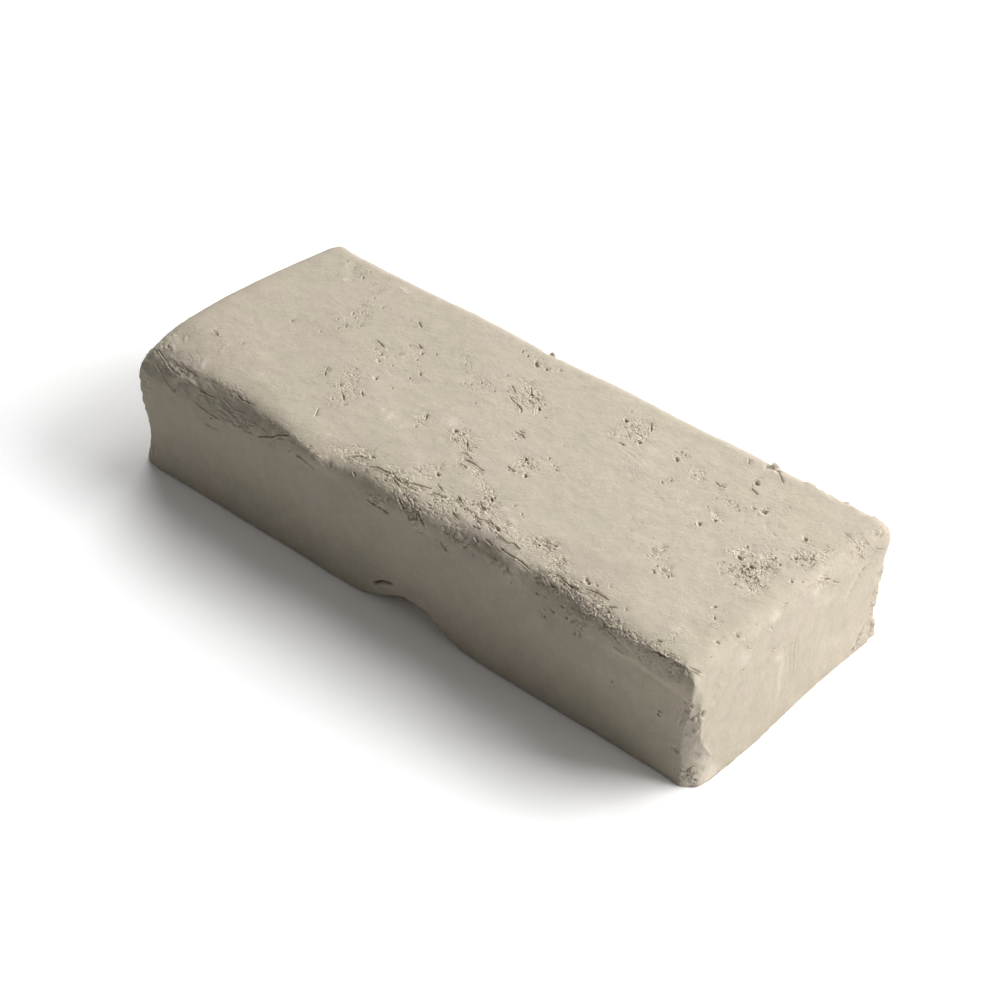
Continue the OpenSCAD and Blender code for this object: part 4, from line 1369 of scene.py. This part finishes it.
def wandering(group, place):
    """The same places, shifted about a little so that nothing on them runs straight."""
    wander = add_node(group.nodes, "ShaderNodeTexNoise", Scale=1300, Detail=3)
    group.links.new(place, wander.inputs["Vector"])
    shift = group.nodes.new("ShaderNodeVectorMath")
    shift.operation = "MULTIPLY_ADD"
    feed(group, shift.inputs, (wander.outputs["Color"], (0.0009,) * 3, place))
    return shift.outputs[0]


def broken_scales_group():
    """Dried skin broken into fine scales: their height, and masks of the painted shade in their cracks and
    the painted highlight on their rims.
    """
    group, given, result = new_group(
        "broken_scales", {"Place": VECTOR, "Crumbled": NUMBER},
        {"Height": NUMBER, "Crack": NUMBER, "Rim": NUMBER})
    place, amount = given["Place"], given["Crumbled"]
    shifted = wandering(group, place)
    height, crack, rim = 0.0, 0.0, 0.0
    for cells, depth, gap in ((1150, 1.0, 0.09), (2300, 0.7, 0.12)):
        scales = add_node(group.nodes, "ShaderNodeTexVoronoi", Scale=1)
        scales.feature = "DISTANCE_TO_EDGE"
        group.links.new(stretched(group, shifted, (0.7 * cells, cells, cells), 35), scales.inputs["Vector"])
        apart = scales.outputs["Distance"]
        here = spread(group, noise(group, place, 0.45 * cells, 2, 0.6), 0.42, 0.6)
        line = times(group, spread(group, apart, 0.0, gap, 1.0, 0.0), here)
        edge = spread(group, apart, gap, 3.0 * gap, 1.0, 0.0)
        # Painted highlight on the rim beside each crack, and painted shade in the crack itself.
        rim = join_up(group, "MAXIMUM", rim, times(group, edge, here, depth))
        height = add(group, height, times(group, line, -depth))
        crack = join_up(group, "MAXIMUM", crack, times(group, line, depth))
    rubble = spread(group, noise(group, place, 3200, 3, 0.7), 0.3, 0.7, -0.25, 0.25)
    height = times(group, add(group, height, rubble), amount)
    strong = spread(group, amount, 0.4, 1.0)
    # The painted highlight follows the rubble: lighter on its bumps, darker in its dips.
    rim = add(group, rim, times(group, rubble, 0.8))
    feed(group, (result["Height"], result["Crack"], result["Rim"]),
         (height, times(group, crack, strong), times(group, rim, strong)))
    return group


def clay_tooth_group():
    """The height of the fine tooth of the clay: soft grains, tiny pinholes and faint drag lines."""
    group, given, result = new_group(
        "clay_tooth", {"Place": VECTOR, "Grain": NUMBER, "Drag": NUMBER}, {"Height": NUMBER})
    place = given["Place"]
    grain = noise(group, place, 1900, 4, 0.65)
    broad = noise(group, place, 620, 3, 0.6)
    uneven = spread(group, noise(group, place, 240, 2, 0.5), 0.35, 0.65, 0.5, 1.25)
    drag = noise(group, stretched(group, place, (160, 1500, 500), 38), 1.0, 2, 0.6)
    pinhole = add_node(group.nodes, "ShaderNodeTexVoronoi", Scale=700)
    group.links.new(place, pinhole.inputs["Vector"])
    hole = spread(group, pinhole.outputs["Distance"], 0.02, 0.2, -0.6, 0.0)
    hole = times(group, hole, spread(group, noise(group, place, 160, 2, 0.5), 0.5, 0.62))
    height = add(group, grain, times(group, broad, 1.3))
    height = times(group, height, given["Grain"], uneven)
    height = add(group, height, times(group, drag, given["Drag"], 0.45), hole)
    feed(group, (result["Height"],), (height,))
    return group


CLAY_COLOURS = {
    "Yellow Clay": (0.583, 0.522, 0.408, 1),
    "Pink Clay": (0.600, 0.522, 0.424, 1),
    # The dark colour below is painted shade for cracks, pits and folds; the pale one is rubbed clay on
    # smears and painted highlight on crack lips, fold crests and the worn corner face.
    "Painted Hollow Shade": (0.26, 0.205, 0.135, 1),
    "Pale Clay": (0.76, 0.68, 0.565, 1),
}


def read_layer(tree, layer, socket):
    """Feed a socket from a number stored on the piece's points."""
    attribute = tree.nodes.new("ShaderNodeAttribute")
    attribute.attribute_name = layer
    tree.links.new(attribute.outputs["Fac"], socket)


def clay_material(name, groups, depth, grain, drag):
    """Soft grey clay; torn faces have a coarser tooth than pressed ones."""
    material = bpy.data.materials.new(name)
    material.use_nodes = True
    tree = material.node_tree
    shader = tree.nodes["Principled BSDF"]
    shader.inputs["Specular IOR Level"].default_value = 0.25
    place = tree.nodes.new("ShaderNodeTexCoord").outputs["Object"]
    colour, tooth, scales = (tree.nodes.new("ShaderNodeGroup") for _ in groups)
    for node, group in zip((colour, tooth, scales), groups):
        node.node_tree = group
        tree.links.new(place, node.inputs["Place"])
    for clay, value in CLAY_COLOURS.items():
        colour.inputs[clay].default_value = value
    read_layer(tree, "hollow", colour.inputs["Hollow"])
    read_layer(tree, "pale", colour.inputs["Pale"])
    read_layer(tree, "crumbled", scales.inputs["Crumbled"])
    tree.links.new(scales.outputs["Crack"], colour.inputs["Crack"])
    tree.links.new(scales.outputs["Rim"], colour.inputs["Rim"])
    tooth.inputs["Grain"].default_value = grain
    tooth.inputs["Drag"].default_value = drag
    height = add(tree, tooth.outputs["Height"], times(tree, scales.outputs["Height"], 1.3))
    bump = add_node(tree.nodes, "ShaderNodeBump", Distance=depth)
    tree.links.new(height, bump.inputs["Height"])
    tree.links.new(colour.outputs["Color"], shader.inputs["Base Color"])
    tree.links.new(colour.outputs["Roughness"], shader.inputs["Roughness"])
    tree.links.new(bump.outputs["Normal"], shader.inputs["Normal"])
    return material


# ---------- the scene ----------

add_camera()
add_floor()
add_world()
add_lamps()

groups = (clay_colour_group(), clay_tooth_group(), broken_scales_group())
kneaded = clay_material("kneaded_clay", groups, depth=0.00008, grain=0.9, drag=0.15)
torn = clay_material("torn_clay", groups, depth=0.00014, grain=1.4, drag=0.1)
add_block(kneaded)
add_flake(kneaded)
add_crumbs(torn)

bpy.context.scene.view_settings.view_transform = "Standard"
